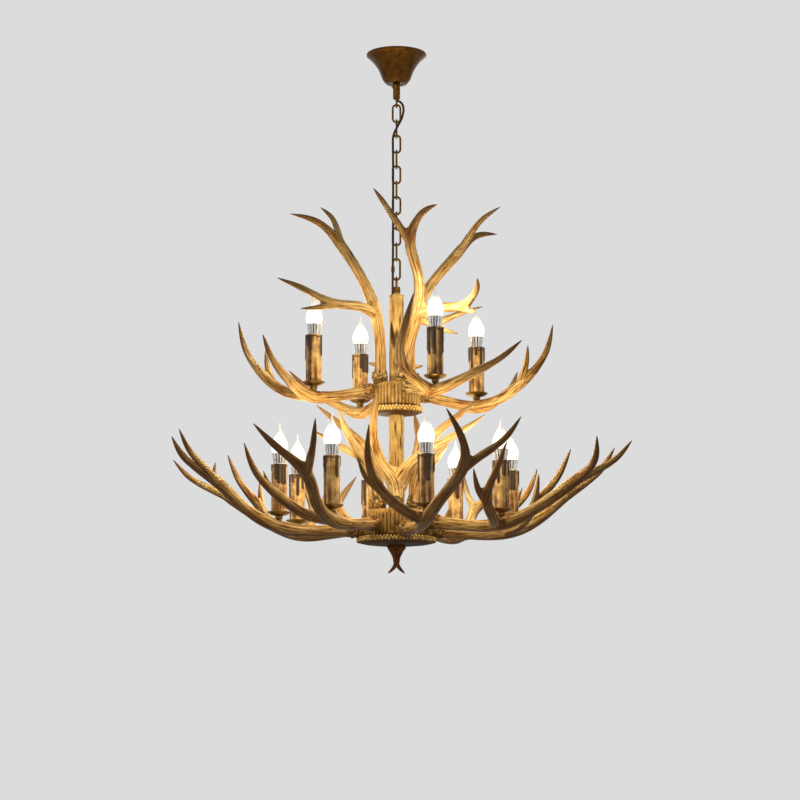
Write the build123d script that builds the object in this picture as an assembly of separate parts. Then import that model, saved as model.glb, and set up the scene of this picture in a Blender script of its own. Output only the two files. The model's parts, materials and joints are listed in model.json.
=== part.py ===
"""Two-tier antler chandelier with twelve candle lamps, hung on a chain from a bell canopy.

Millimetres, +Z up. The origin is the middle of the ceiling plate, where the lamp meets the ceiling.
Azimuths are measured seen from above, from the front (-Y) towards the right (+X).
A casting's own frame has u along its foot, v to its side and z up when it lies as an arm.
"""

import math
import os

from build123d import *

# Clearances shared by the fits
SLIP_FIT = 0.2
THREAD_FIT = 0.15
LINK_CLEARANCE = 0.3

# Ceiling plate and bell canopy
PLATE_LENGTH = 100.0
PLATE_WIDTH = 26.0
PLATE_THICKNESS = 2.5
PLATE_HOLE_D = 5.2
PLATE_HOLE_SPACING = 70.0
CANOPY_RIM_D = 134.0
CANOPY_HEIGHT = 68.0
CANOPY_WALL = 1.5
CANOPY_FLAT_D = 46.0
# Outline of the bell from the rim down: share of the rim radius, share of the height
CANOPY_OUTLINE = [(1.0, 0.05), (0.87, 0.17), (0.665, 0.42), (0.53, 0.69), (0.46, 0.86)]

# Threaded tube through the canopy, and the nuts that go on such tubes
TUBE_D = 10.0
TUBE_BORE = 7.0
NUT_ACROSS_FLATS = 14.0
NUT_HEIGHT = 5.0

# Collar under the canopy, with the eye that carries the chain
COLLAR_D = 16.0
COLLAR_HEIGHT = 35.0
COLLAR_THREAD_DEPTH = 24.0
COLLAR_GROOVE = 0.8
COLLAR_GROOVE_WIDTH = 1.2
COLLAR_GROOVE_STEP = 4.5
COLLAR_CHAMFER = 1.0
EYE_WIRE_D = 4.5
EYE_WIDTH = 19.0
EYE_DROP = 18.0
SET_SCREW_D = 3.0
SET_SCREW_HEAD_D = 5.0
SET_SCREW_HEAD_HEIGHT = 3.0
SET_SCREW_DROP = 8.0

# Chain links, the screw link below them and the loop on the fixture
LINK_COUNT = 10
LINK_WIRE_D = 4.5
LINK_LENGTH = 44.3
LINK_WIDTH = 21.5
SCREW_LINK_WIRE_D = 4.5
SCREW_LINK_LENGTH = 52.0
SCREW_LINK_WIDTH = 20.0
SCREW_LINK_GAP = 7.0
SCREW_SLEEVE_LENGTH = 13.0
SCREW_SLEEVE_FLATS = 7.6
LOOP_WIRE_D = 5.0
LOOP_WIDTH = 26.0
LOOP_BASE_D = 17.0
LOOP_BASE_HEIGHT = 14.0
LOOP_THREAD_DEPTH = 11.0
LOOP_BASE_ROUND = 2.0

# Supply cord beside the chain
CORD_D = 5.0
CORD_HOLE_D = 8.0

# Turned columns and the hubs
COLUMN_D = 33.0
COLUMN_BORE = 18.0
COLUMN_TOP_WALL = 12.0
COLUMN_UPPER_LENGTH = 196.0
COLUMN_LOWER_LENGTH = 209.0
COLUMN_REED_COUNT = 18
COLUMN_REED_DEPTH = 0.9
UPPER_HUB_BARREL_D = 102.0
UPPER_HUB_RING_D = 118.0
UPPER_HUB_HEIGHT = 71.0
UPPER_HUB_RIBS = 40
LOWER_HUB_BARREL_D = 150.0
LOWER_HUB_RING_D = 176.0
LOWER_HUB_HEIGHT = 76.0
LOWER_HUB_RIBS = 56
HUB_RIB_D = 4.4
HUB_SHOULDER = 12.0
HUB_BEAD_D = 9.0
HUB_RING_RISE = 9.0
HUB_RING_THICKNESS = 8.0
HUB_FLOOR = 7.0

# Bosses on the hubs, and the studs that fix the antlers to them
BOSS_D = 33.0
BOSS_DEPTH = 22.0
STUD_D = 6.0
STUD_LENGTH = 34.0

# Tail piece under the lower hub
FINIAL_TOP_D = 43.0
FINIAL_WAIST_D = 14.0
FINIAL_HEIGHT = 60.0
FINIAL_CAP_HEIGHT = 10.0
FINIAL_TAIL_LENGTH = 24.0
FINIAL_TAIL_SPREAD = 18.0
FINIAL_TAIL_D = 9.0
FINIAL_THREAD_DEPTH = 22.0

# Arms: where the feet of the castings sit and how each is turned
FOOT_CLEARANCE = 1.5
LOWER_ARM_COUNT = 8
LOWER_ARM_FIRST = 13.4
LOWER_FOOT_DROP = 38.0
UPPER_ARM_COUNT = 4
UPPER_ARM_FIRST = 24.8
UPPER_FOOT_DROP = 21.0
# Nose-up and roll of each arm about its candle seat, from the front round to the right
LOWER_ARM_SET = [
    (3.5, -3.5), (-3.5, 4.0), (1.5, 1.0), (-3.0, 1.5),
    (-3.5, -1.0), (-1.5, -2.0), (2.0, 0.0), (-1.5, 1.2),
]
UPPER_ARM_SET = [(-3.0, -3.0), (0.4, 0.5), (2.0, 1.6), (0.2, 0.8)]

# Standing antlers round the columns: azimuth, outward lean and sideways lean
CROWN_SIZE = 0.93
CROWN_SET = [(-9.5, 0.165, 0.26), (92.0, 0.09, 0.19), (-116.0, -0.02, 0.27)]
CROWN_FOOT_OUT = 30.0
CROWN_FOOT_ASIDE = 20.0
SPRAY_COUNT = 4
SPRAY_FIRST = 0.0
SPRAY_FOOT_OUT = 39.0
FOOT_RISE = 8.0

# Candle lamps
SEAT_D = 20.0
SEAT_RISE = 10.0
SEAT_ROOM = 60.0
CUP_D = 50.0
CUP_HEIGHT = 7.0
CUP_WALL = 1.8
CUP_STEM_D = 16.0
CUP_STEM_HEIGHT = 15.0
SLEEVE_D = 35.0
SLEEVE_BORE = 27.0
SLEEVE_LENGTH = 107.0
DRIP_D = 4.4
DRIP_LENGTHS = [46.0, 22.0, 60.0, 30.0, 16.0, 52.0, 26.0]
RIM_WAX_D = 5.0
HOLDER_D = 24.0
HOLDER_HEIGHT = 88.0
HOLDER_FLOOR = 26.0
HOLDER_STEM_LENGTH = 28.0
BULB_CAP_D = 13.6
BULB_CAP_LENGTH = 24.0
BULB_COLLAR_FOOT_D = 25.0
BULB_COLLAR_TOP_D = 33.0
BULB_COLLAR_HEIGHT = 24.0
BULB_D = 36.0
BULB_GLASS_HEIGHT = 66.0
BULB_FIN_COUNT = 14
BULB_FIN_SLOT = 2.4
BULB_FIN_DEPTH = 1.6

# Casting with two forks, used for the lower arms and the crown: centre line points and beam radii
LARGE_SEAT = (170.0, 2.0, -2.0)
LARGE_TRUNK = [
    (-8, 0, 0), (85, 4, -7), LARGE_SEAT, (250, 16, 34), (316, 38, 84), (378, 18, 128), (407, -25, 182),
]
LARGE_TRUNK_R = [14.0, 12.5, 14.5, 12.0, 12.5, 8.0, 1.4]
LARGE_BRANCHES = [
    ([(305, 33, 75), (342, 66, 104), (384, 104, 136), (413, 129, 179)], [10.0, 8.6, 6.4, 1.3]),
    (
        [(150, 3, -3), (178, -48, 10), (194, -104, 48), (232, -140, 100), (265, -149, 166)],
        [11.5, 11.5, 11.0, 7.6, 1.4],
    ),
    ([(190, -92, 40), (189, -128, 64), (190, -154, 112)], [8.5, 7.0, 1.3]),
    ([(33, 1, -2), (37, 2, 14), (41, 3, 29)], [8.0, 5.0, 1.4]),
]

# Casting with one fork and one long tine, used for the upper arms
SMALL_SEAT = (136.0, 0.0, -20.0)
SMALL_TRUNK = [(-8, 0, 0), (70, 0, -13), SMALL_SEAT, (222, 44, 14), (270, 84, 48), (299, 114, 85)]
SMALL_TRUNK_R = [13.0, 11.8, 13.8, 9.6, 6.4, 1.4]
SMALL_BRANCHES = [
    (
        [(122, 0, -18), (162, -56, -8), (194, -110, 26), (238, -129, 84), (263, -124, 156)],
        [11.0, 11.0, 11.0, 7.2, 1.4],
    ),
    ([(189, -100, 18), (192, -128, 58), (193, -138, 105)], [8.4, 6.6, 1.3]),
    ([(32, 0, -4), (35, 2, 12), (38, 3, 27)], [7.6, 4.8, 1.4]),
]

# Short casting with a plain fork, stood round the lower column with u upwards and z outwards
SPRAY_TRUNK = [(-8, 0, 0), (54, 6, 8), (84, 28, 14), (127, 46, 26), (186, 47, 84), (230, 40, 138)]
SPRAY_TRUNK_R = [15.0, 19.0, 13.0, 10.8, 7.8, 1.4]
SPRAY_BRANCHES = [
    (
        [(44, 4, 6), (70, -14, 18), (100, -44, 36), (140, -116, 62), (186, -190, 84)],
        [15.0, 13.5, 11.0, 8.4, 1.4],
    ),
]

# Burr at the foot of every casting
BURR_D = 37.0
BURR_LENGTH = 13.0
BURR_STAND = 4.0
SECTIONS_PER_SPAN = 3

# Cord route beside the chain, from the collar to the column, chosen by hand
CORD_ROUTE = [
    (0, 0, -94), (0, 0, -106), (10.5, 0, -110), (16, 0, -121), (15.2, -4, -136), (10.5, -11.5, -154),
    (0.5, -15.4, -172), (-7.8, -11.2, -189), (-8.3, -8.5, -207), (-7.6, -7.6, -232), (-7.5, -7.7, -306),
    (-7.7, -7.5, -380), (-7.6, -7.8, -440), (-8.2, -8.6, -474), (-8.4, -8.7, -514), (-8.6, -8.7, -536),
    (-8.6, -8.7, -556),
]

# Heights, worked out from the ceiling downwards
CANOPY_BOTTOM = -CANOPY_HEIGHT
COLLAR_BOTTOM = CANOPY_BOTTOM - COLLAR_HEIGHT
EYE_BAR = COLLAR_BOTTOM - EYE_DROP
LINK_PITCH = LINK_LENGTH - LINK_WIRE_D - (LINK_WIRE_D + LINK_CLEARANCE)
FIRST_LINK_TOP = EYE_BAR + (EYE_WIRE_D + LINK_WIRE_D) / 2 + LINK_CLEARANCE
LAST_LINK_BAR = FIRST_LINK_TOP - (LINK_LENGTH - LINK_WIRE_D) - (LINK_COUNT - 1) * LINK_PITCH
SCREW_LINK_TOP = LAST_LINK_BAR + (LINK_WIRE_D + SCREW_LINK_WIRE_D) / 2 + LINK_CLEARANCE
SCREW_LINK_BAR = SCREW_LINK_TOP - (SCREW_LINK_LENGTH - SCREW_LINK_WIRE_D)
LOOP_TOP = SCREW_LINK_BAR + (SCREW_LINK_WIRE_D + LOOP_WIRE_D) / 2 + LINK_CLEARANCE
LOOP_BASE_TOP = LOOP_TOP - (LOOP_WIDTH - LOOP_WIRE_D)
LOOP_BASE_BOTTOM = LOOP_BASE_TOP - LOOP_BASE_HEIGHT
COLUMN_TOP = LOOP_BASE_BOTTOM - NUT_HEIGHT
UPPER_HUB_TOP = COLUMN_TOP - COLUMN_UPPER_LENGTH
UPPER_HUB_BOTTOM = UPPER_HUB_TOP - UPPER_HUB_HEIGHT
LOWER_HUB_TOP = UPPER_HUB_BOTTOM - COLUMN_LOWER_LENGTH
LOWER_HUB_BOTTOM = LOWER_HUB_TOP - LOWER_HUB_HEIGHT
UPPER_FOOT_Z = UPPER_HUB_TOP - UPPER_FOOT_DROP
LOWER_FOOT_Z = LOWER_HUB_TOP - LOWER_FOOT_DROP
UPPER_FOOT_RADIUS = UPPER_HUB_RING_D / 2 + FOOT_CLEARANCE
LOWER_FOOT_RADIUS = LOWER_HUB_RING_D / 2 + FOOT_CLEARANCE
CUP_TOP_OF_STEM = CUP_STEM_HEIGHT + CUP_WALL


def outward(azimuth):
    """Unit vector from the axis towards an azimuth."""
    a = math.radians(azimuth)
    return Vector(math.sin(a), -math.cos(a), 0)


def sideways(azimuth):
    """Unit vector along the circle, towards growing azimuth."""
    a = math.radians(azimuth)
    return Vector(math.cos(a), math.sin(a), 0)


def revolved(points):
    """Turn a half profile of (radius, height) points about Z."""
    face = make_face(Polyline(*[(r, 0, z) for r, z in points], close=True))
    return revolve(face, Axis.Z)


def ring(outer_d, bore_d, bottom, top):
    """Round sleeve from bottom to top."""
    height = top - bottom
    tube = Cylinder(outer_d / 2, height) - Cylinder(bore_d / 2, height)
    return Pos(0, 0, bottom + height / 2) * tube


def export(name, *solids):
    """Write one node, made of one or more solids."""
    shape = solids[0] if len(solids) == 1 else Compound(children=list(solids))
    export_step(shape, f"parts/{name}.step")


# Antler castings
def beam(points, radii):
    """Loft one antler beam through round sections along a smooth centre line."""
    line = Spline(*[Vector(*p) for p in points])
    spans = len(points) - 1
    stops = [0.0]
    for a, b in zip(points, points[1:]):
        stops.append(stops[-1] + (Vector(*b) - Vector(*a)).length)
    stops = [s / stops[-1] for s in stops]
    sections = []
    across = Vector(0, 1, 0)
    for k in range(spans * SECTIONS_PER_SPAN + 1):
        i = min(k // SECTIONS_PER_SPAN, spans - 1)
        f = (k - i * SECTIONS_PER_SPAN) / SECTIONS_PER_SPAN
        t = stops[i] + f * (stops[i + 1] - stops[i])
        ease = f * f * (3 - 2 * f)
        radius = radii[i] + (radii[i + 1] - radii[i]) * (ease if i < spans - 1 else f ** 1.6)
        along = line % t
        across = (across - along * across.dot(along)).normalized()
        sections.append(Plane(line @ t, x_dir=across, z_dir=along) * Circle(radius))
    return loft(sections)


def burr():
    """Knotted crown at the foot of a casting, turned about its axis."""
    top = BURR_STAND + BURR_LENGTH
    profile = [(0, 0), (BURR_D / 2 - 4, 0), (BURR_D / 2 - 1.2, BURR_STAND), (BURR_D / 2, BURR_STAND + 3)]
    profile += [(BURR_D / 2 - 1.5, BURR_STAND + 7), (BURR_D / 2 - 4, top), (0, top)]
    return Rot(0, 90, 0) * revolved(profile)


def casting(trunk, trunk_radii, branches, size=1.0):
    """One antler: trunk, branches and burr fused, with a blind hole for its stud."""
    def sized(points):
        return [tuple(size * c for c in p) for p in points]

    pieces = [beam(sized(points), [size * r for r in radii]) for points, radii in branches]
    antler = beam(sized(trunk), [size * r for r in trunk_radii]).fuse(burr(), *pieces)
    antler -= Pos(-BURR_D, 0, 0) * Box(2 * BURR_D, 2 * BURR_D, 2 * BURR_D)
    hole_depth = STUD_LENGTH / 2 + SLIP_FIT
    hole = Pos(hole_depth / 2, 0, 0) * (Rot(0, 90, 0) * Cylinder(STUD_D / 2 + SLIP_FIT, hole_depth))
    return antler - hole


def seat_middle(azimuth, foot_radius, foot_z, seat):
    """Point of an arm's centre line under its candle lamp."""
    along = outward(azimuth) * (foot_radius + seat[0])
    return along + sideways(azimuth) * seat[1] + Vector(0, 0, foot_z + seat[2])


def arm_place(azimuth, foot_radius, foot_z, seat, nose_up, roll):
    """Frame of an arm casting, turned about its candle seat and pointing outward."""
    out, side, up = outward(azimuth), sideways(azimuth), Vector(0, 0, 1)
    p, r = math.radians(nose_up), math.radians(roll)
    u = out * math.cos(p) + up * math.sin(p)
    z = out * (-math.sin(p) * math.cos(r)) - side * math.sin(r) + up * (math.cos(p) * math.cos(r))
    v = z.cross(u)
    pivot = seat_middle(azimuth, foot_radius, foot_z, seat)
    return Plane(pivot - u * seat[0] - v * seat[1] - z * seat[2], x_dir=u, z_dir=z).location


def standing_place(azimuth, out_by, aside_by, foot_z, lean_out=0.0, lean_aside=0.0):
    """Frame of a casting stood on its foot, with its z side facing outward."""
    out, side, up = outward(azimuth), sideways(azimuth), Vector(0, 0, 1)
    u = (out * lean_out + side * lean_aside + up).normalized()
    z = (out - u * out.dot(u)).normalized()
    return Plane(out * out_by + side * aside_by + up * foot_z, x_dir=u, z_dir=z).location


def lower_azimuth(k):
    return LOWER_ARM_FIRST + k * 360 / LOWER_ARM_COUNT


def upper_azimuth(k):
    return UPPER_ARM_FIRST + k * 360 / UPPER_ARM_COUNT


LOWER_ARMS = [
    arm_place(lower_azimuth(k), LOWER_FOOT_RADIUS, LOWER_FOOT_Z, LARGE_SEAT, *LOWER_ARM_SET[k])
    for k in range(LOWER_ARM_COUNT)
]
UPPER_ARMS = [
    arm_place(upper_azimuth(k), UPPER_FOOT_RADIUS, UPPER_FOOT_Z, SMALL_SEAT, *UPPER_ARM_SET[k])
    for k in range(UPPER_ARM_COUNT)
]
CROWN = [
    standing_place(azimuth, CROWN_FOOT_OUT, CROWN_FOOT_ASIDE, UPPER_HUB_TOP + FOOT_RISE, lean_out, lean_aside)
    for azimuth, lean_out, lean_aside in CROWN_SET
]
SPRAY = [
    standing_place(SPRAY_FIRST + k * 360 / SPRAY_COUNT, SPRAY_FOOT_OUT, 0, LOWER_HUB_TOP + FOOT_RISE)
    for k in range(SPRAY_COUNT)
]


# Upright frames of the candle lamps, on the flats cut over the arms' seats
LOWER_LAMPS = [
    Pos(seat_middle(lower_azimuth(k), LOWER_FOOT_RADIUS, LOWER_FOOT_Z, LARGE_SEAT) + Vector(0, 0, SEAT_RISE))
    for k in range(LOWER_ARM_COUNT)
]
UPPER_LAMPS = [
    Pos(seat_middle(upper_azimuth(k), UPPER_FOOT_RADIUS, UPPER_FOOT_Z, SMALL_SEAT) + Vector(0, 0, SEAT_RISE))
    for k in range(UPPER_ARM_COUNT)
]
LAMPS = LOWER_LAMPS + UPPER_LAMPS


def seat_cut():
    """Room above a candle seat, and the hole for the lamp's threaded stem below it."""
    flat = Pos(0, 0, SEAT_ROOM / 2) * Cylinder(SEAT_D / 2, SEAT_ROOM)
    hole_depth = HOLDER_STEM_LENGTH - CUP_TOP_OF_STEM + SLIP_FIT
    hole = Pos(0, 0, -hole_depth / 2) * Cylinder(TUBE_D / 2 + SLIP_FIT, hole_depth)
    return flat + hole


# Ceiling side
def ceiling_plate():
    plate = Box(PLATE_LENGTH, PLATE_WIDTH, PLATE_THICKNESS)
    plate = fillet(plate.edges().filter_by(Axis.Z), PLATE_WIDTH / 2 - 1)
    plate -= Cylinder(TUBE_D / 2 + THREAD_FIT, PLATE_THICKNESS)
    for x in (-PLATE_HOLE_SPACING / 2, PLATE_HOLE_SPACING / 2):
        plate -= Pos(x, 0, 0) * Cylinder(PLATE_HOLE_D / 2, PLATE_THICKNESS)
    return Pos(0, 0, -PLATE_THICKNESS / 2) * plate


def bell(inset):
    """Solid bell inside the canopy's outer face by a given inset."""
    rim, flat = CANOPY_RIM_D / 2 - inset, CANOPY_FLAT_D / 2 - inset
    height = CANOPY_HEIGHT - inset
    side = [(rim * across, 0, -height * down) for across, down in CANOPY_OUTLINE]
    curve = Spline(*side, (flat, 0, -height), tangents=[(-0.6, 0, -1), (-1, 0, -0.05)])
    outline = Polyline((flat, 0, -height), (0, 0, -height), (0, 0, 0), (rim, 0, 0), side[0])
    return revolve(make_face(curve + outline), Axis.Z)


def canopy():
    cup = bell(0) - bell(CANOPY_WALL)
    return cup - Pos(0, 0, CANOPY_BOTTOM) * Cylinder(TUBE_D / 2 + SLIP_FIT, 4 * CANOPY_WALL)


def hex_nut(top):
    body = extrude(RegularPolygon(NUT_ACROSS_FLATS / 2, 6, major_radius=False), -NUT_HEIGHT)
    body -= Pos(0, 0, -NUT_HEIGHT / 2) * Cylinder(TUBE_D / 2 + THREAD_FIT, NUT_HEIGHT)
    return Pos(0, 0, top) * body


def canopy_tube():
    return ring(TUBE_D, TUBE_BORE, CANOPY_BOTTOM - COLLAR_THREAD_DEPTH, 0)


def half_hoop(width, wire_d):
    """Half of a round wire hoop in the XZ plane, bulging downwards, with its middle at the origin."""
    section = Pos((width - wire_d) / 2, 0, 0) * Circle(wire_d / 2)
    return revolve(section, Axis.Y, 180)


def oval_wire(length, width, wire_d):
    """Closed oval of round wire in the XZ plane, hanging down from the middle of its top bend."""
    straight = length - width
    reach = (width - wire_d) / 2
    lower = Pos(0, 0, -reach - straight) * half_hoop(width, wire_d)
    upper = Pos(0, 0, -reach) * (Rot(180, 0, 0) * half_hoop(width, wire_d))
    leg = Pos(0, 0, -reach - straight / 2) * Cylinder(wire_d / 2, straight)
    return lower.fuse(upper, Pos(reach, 0, 0) * leg, Pos(-reach, 0, 0) * leg)


def chain_collar():
    collar = ring(COLLAR_D, CORD_HOLE_D, COLLAR_BOTTOM, CANOPY_BOTTOM)
    collar = chamfer(collar.edges().filter_by(GeomType.CIRCLE).sort_by(SortBy.RADIUS)[-2:], COLLAR_CHAMFER)
    thread = Pos(0, 0, CANOPY_BOTTOM - COLLAR_THREAD_DEPTH / 2)
    collar -= thread * Cylinder(TUBE_D / 2 + THREAD_FIT, COLLAR_THREAD_DEPTH)
    groove_z = CANOPY_BOTTOM - COLLAR_HEIGHT / 2 + COLLAR_GROOVE_STEP / 3
    groove = Cylinder(COLLAR_D, COLLAR_GROOVE_WIDTH)
    groove -= Cylinder(COLLAR_D / 2 - COLLAR_GROOVE, COLLAR_GROOVE_WIDTH)
    for step in (0, 1, 2):
        collar -= Pos(0, 0, groove_z - step * COLLAR_GROOVE_STEP) * groove
    screw_hole = Pos(-COLLAR_D / 4, 0, CANOPY_BOTTOM - SET_SCREW_DROP)
    collar -= screw_hole * (Rot(0, 90, 0) * Cylinder(SET_SCREW_D / 2 + SLIP_FIT, COLLAR_D / 2))
    reach = (EYE_WIDTH - EYE_WIRE_D) / 2
    straight = EYE_DROP - reach
    leg = Pos(0, 0, COLLAR_BOTTOM - straight / 2 + 2) * Cylinder(EYE_WIRE_D / 2, straight + 4)
    foot = Pos(0, 0, EYE_BAR + reach) * half_hoop(EYE_WIDTH, EYE_WIRE_D)
    eye = foot.fuse(Pos(reach, 0, 0) * leg, Pos(-reach, 0, 0) * leg)
    return collar + Rot(0, 0, 90) * eye


def set_screw():
    tip = -(TUBE_D / 2 + SLIP_FIT)
    face = -COLLAR_D / 2
    shank = Cylinder(SET_SCREW_D / 2, tip - face)
    head = Cylinder(SET_SCREW_HEAD_D / 2, SET_SCREW_HEAD_HEIGHT)
    screw = Pos((tip + face) / 2, 0, 0) * (Rot(0, 90, 0) * shank)
    screw += Pos(face - SET_SCREW_HEAD_HEIGHT / 2, 0, 0) * (Rot(0, 90, 0) * head)
    return Pos(0, 0, CANOPY_BOTTOM - SET_SCREW_DROP) * screw


# Chain
def chain_link(k):
    """Link k, counted from the top; every second link is turned a quarter."""
    link = oval_wire(LINK_LENGTH, LINK_WIDTH, LINK_WIRE_D)
    return Pos(0, 0, FIRST_LINK_TOP - k * LINK_PITCH) * (Rot(0, 0, 90 * (k % 2)) * link)


SCREW_LINK_TURN = 90 * (LINK_COUNT % 2)
SCREW_LINK_LEG = (SCREW_LINK_WIDTH - SCREW_LINK_WIRE_D) / 2
SCREW_LINK_MIDDLE = (SCREW_LINK_TOP + SCREW_LINK_BAR) / 2


def screw_link():
    link = oval_wire(SCREW_LINK_LENGTH, SCREW_LINK_WIDTH, SCREW_LINK_WIRE_D)
    gap_z = SCREW_LINK_MIDDLE - SCREW_SLEEVE_LENGTH / 2 + SCREW_LINK_GAP / 2 + 1
    link = Pos(0, 0, SCREW_LINK_TOP) * link
    link -= Pos(-SCREW_LINK_LEG, 0, gap_z) * Cylinder(SCREW_LINK_WIRE_D, SCREW_LINK_GAP)
    return Rot(0, 0, SCREW_LINK_TURN) * link


def screw_sleeve():
    hexagon = RegularPolygon(SCREW_SLEEVE_FLATS / 2, 6, major_radius=False)
    sleeve = extrude(hexagon, SCREW_SLEEVE_LENGTH / 2, both=True)
    sleeve -= Cylinder(SCREW_LINK_WIRE_D / 2 + THREAD_FIT, SCREW_SLEEVE_LENGTH)
    return Rot(0, 0, SCREW_LINK_TURN) * (Pos(-SCREW_LINK_LEG, 0, SCREW_LINK_MIDDLE) * sleeve)


# Fixture core
def top_loop():
    reach = (LOOP_WIDTH - LOOP_WIRE_D) / 2
    hoop = Pos(0, 0, LOOP_TOP - reach) * (Rot(0, 90, 0) * Torus(reach, LOOP_WIRE_D / 2))
    base = Pos(0, 0, LOOP_BASE_BOTTOM + LOOP_BASE_HEIGHT / 2) * Cylinder(LOOP_BASE_D / 2, LOOP_BASE_HEIGHT)
    base = fillet(base.edges().filter_by(GeomType.CIRCLE), LOOP_BASE_ROUND)
    thread = Pos(0, 0, LOOP_BASE_BOTTOM + LOOP_THREAD_DEPTH / 2)
    loop = (hoop + base) - thread * Cylinder(TUBE_D / 2 + THREAD_FIT, LOOP_THREAD_DEPTH)
    return Rot(0, 0, SCREW_LINK_TURN) * loop


def centre_tube():
    bottom = LOWER_HUB_BOTTOM - FINIAL_THREAD_DEPTH
    return ring(TUBE_D, TUBE_BORE, bottom, LOOP_BASE_BOTTOM + LOOP_THREAD_DEPTH)


def reeded_tube(bottom, top):
    """Column with shallow reeding, hollow for the wires."""
    height = top - bottom
    radius = COLUMN_D / 2
    groove_r = COLUMN_REED_DEPTH * 1.6
    outline = Circle(radius)
    outline -= PolarLocations(radius + groove_r - COLUMN_REED_DEPTH, COLUMN_REED_COUNT) * Circle(groove_r)
    return Pos(0, 0, bottom) * extrude(outline - Circle(COLUMN_BORE / 2), height)


def column_upper():
    column = reeded_tube(UPPER_HUB_TOP, COLUMN_TOP)
    cap = ring(COLUMN_BORE + 1, TUBE_D + 2 * THREAD_FIT, COLUMN_TOP - COLUMN_TOP_WALL, COLUMN_TOP)
    x, y, _ = CORD_ROUTE[-1]
    return (column + cap) - Pos(x, y, COLUMN_TOP) * Cylinder(CORD_D / 2 + SLIP_FIT, 2 * COLUMN_TOP_WALL)


def column_lower():
    return reeded_tube(LOWER_HUB_TOP, UPPER_HUB_BOTTOM)


def hub(barrel_d, ring_d, bottom, top, ribs, feet, arm_azimuths):
    """Ribbed hub with a beaded rim, hollow inside, with a boss for each antler foot."""
    barrel_r, ring_r = barrel_d / 2, ring_d / 2
    ring_z = bottom + HUB_RING_RISE
    ring_r_in = ring_r - HUB_BEAD_D / 2
    outer = [
        (0, bottom), (ring_r * 0.45, bottom), (ring_r * 0.80, bottom + HUB_RING_RISE * 0.35),
        (ring_r_in, ring_z), (ring_r_in, ring_z + HUB_RING_THICKNESS),
        (barrel_r, ring_z + HUB_RING_THICKNESS + 3),
        (barrel_r, top - HUB_SHOULDER), (barrel_r - HUB_SHOULDER * 0.4, top - HUB_SHOULDER * 0.3),
        (barrel_r - HUB_SHOULDER, top), (0, top),
    ]
    boss = Pos(-BOSS_DEPTH / 2, 0, 0) * (Rot(0, 90, 0) * Cylinder(BOSS_D / 2, BOSS_DEPTH))
    body = revolved(outer).fuse(*[foot * boss for foot in feet])
    room = [
        (0, bottom + HUB_FLOOR), (ring_r * 0.55, bottom + HUB_FLOOR),
        (barrel_r - BOSS_DEPTH, ring_z + HUB_FLOOR),
        (barrel_r - BOSS_DEPTH, top - HUB_SHOULDER - BOSS_DEPTH), (0, top - HUB_SHOULDER - BOSS_DEPTH),
    ]
    body -= revolved(room)
    body -= Pos(0, 0, (bottom + top) / 2) * Cylinder(TUBE_D / 2 + SLIP_FIT, top - bottom + 2)
    hole_depth = STUD_LENGTH / 2 + SLIP_FIT
    hole = Pos(-hole_depth / 2, 0, 0) * (Rot(0, 90, 0) * Cylinder(STUD_D / 2 + SLIP_FIT, hole_depth))
    body = body.cut(*[foot * hole for foot in feet])
    rib_bottom, rib_top = ring_z + HUB_RING_THICKNESS / 2, top - HUB_SHOULDER
    rib = Pos(barrel_r, 0, (rib_bottom + rib_top) / 2) * Cylinder(HUB_RIB_D / 2, rib_top - rib_bottom)
    rib += Pos(barrel_r, 0, rib_top) * Sphere(HUB_RIB_D / 2)
    half_boss = math.degrees(math.asin((BOSS_D + HUB_RIB_D) / 2 / barrel_r)) + 1
    for k in range(ribs):
        azimuth = 360 * k / ribs
        spans = [(azimuth - arm + 180) % 360 - 180 for arm in arm_azimuths]
        if min(abs(span) for span in spans) > half_boss:
            body += Rot(0, 0, azimuth - 90) * rib
    bead = Pos(ring_r - HUB_BEAD_D / 2, 0, ring_z + HUB_RING_THICKNESS / 2) * Sphere(HUB_BEAD_D / 2)
    beads = int(math.pi * ring_d / HUB_BEAD_D * 0.98)
    return body.fuse(*[Rot(0, 0, 360 * k / beads) * bead for k in range(beads)])


def stud():
    return Rot(0, 90, 0) * Cylinder(STUD_D / 2, STUD_LENGTH)


def finial():
    top = LOWER_HUB_BOTTOM
    neck = top - FINIAL_HEIGHT + FINIAL_TAIL_LENGTH
    profile = [
        (0, top), (FINIAL_TOP_D / 2 - 2, top), (FINIAL_TOP_D / 2, top - FINIAL_CAP_HEIGHT / 2),
        (FINIAL_TOP_D / 2 - 4, top - FINIAL_CAP_HEIGHT), (FINIAL_WAIST_D / 2 + 6, top - FINIAL_CAP_HEIGHT - 7),
        (FINIAL_WAIST_D / 2 + 1.5, (top + neck) / 2 - 8), (FINIAL_WAIST_D / 2, neck), (0, neck),
    ]
    body = revolved(profile)
    tip_z = top - FINIAL_HEIGHT
    tails = []
    for side in (-1, 1):
        route = [(0, 0, neck + 4), (side * 2.5, 0, neck - 6), (side * FINIAL_TAIL_SPREAD, 0, tip_z)]
        tails.append(beam(route, [FINIAL_TAIL_D / 2 + 1.5, FINIAL_TAIL_D / 2, 1.6]))
    body = body.fuse(*tails)
    thread = Cylinder(TUBE_D / 2 + THREAD_FIT, FINIAL_THREAD_DEPTH)
    return body - Pos(0, 0, top - FINIAL_THREAD_DEPTH / 2) * thread


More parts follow.
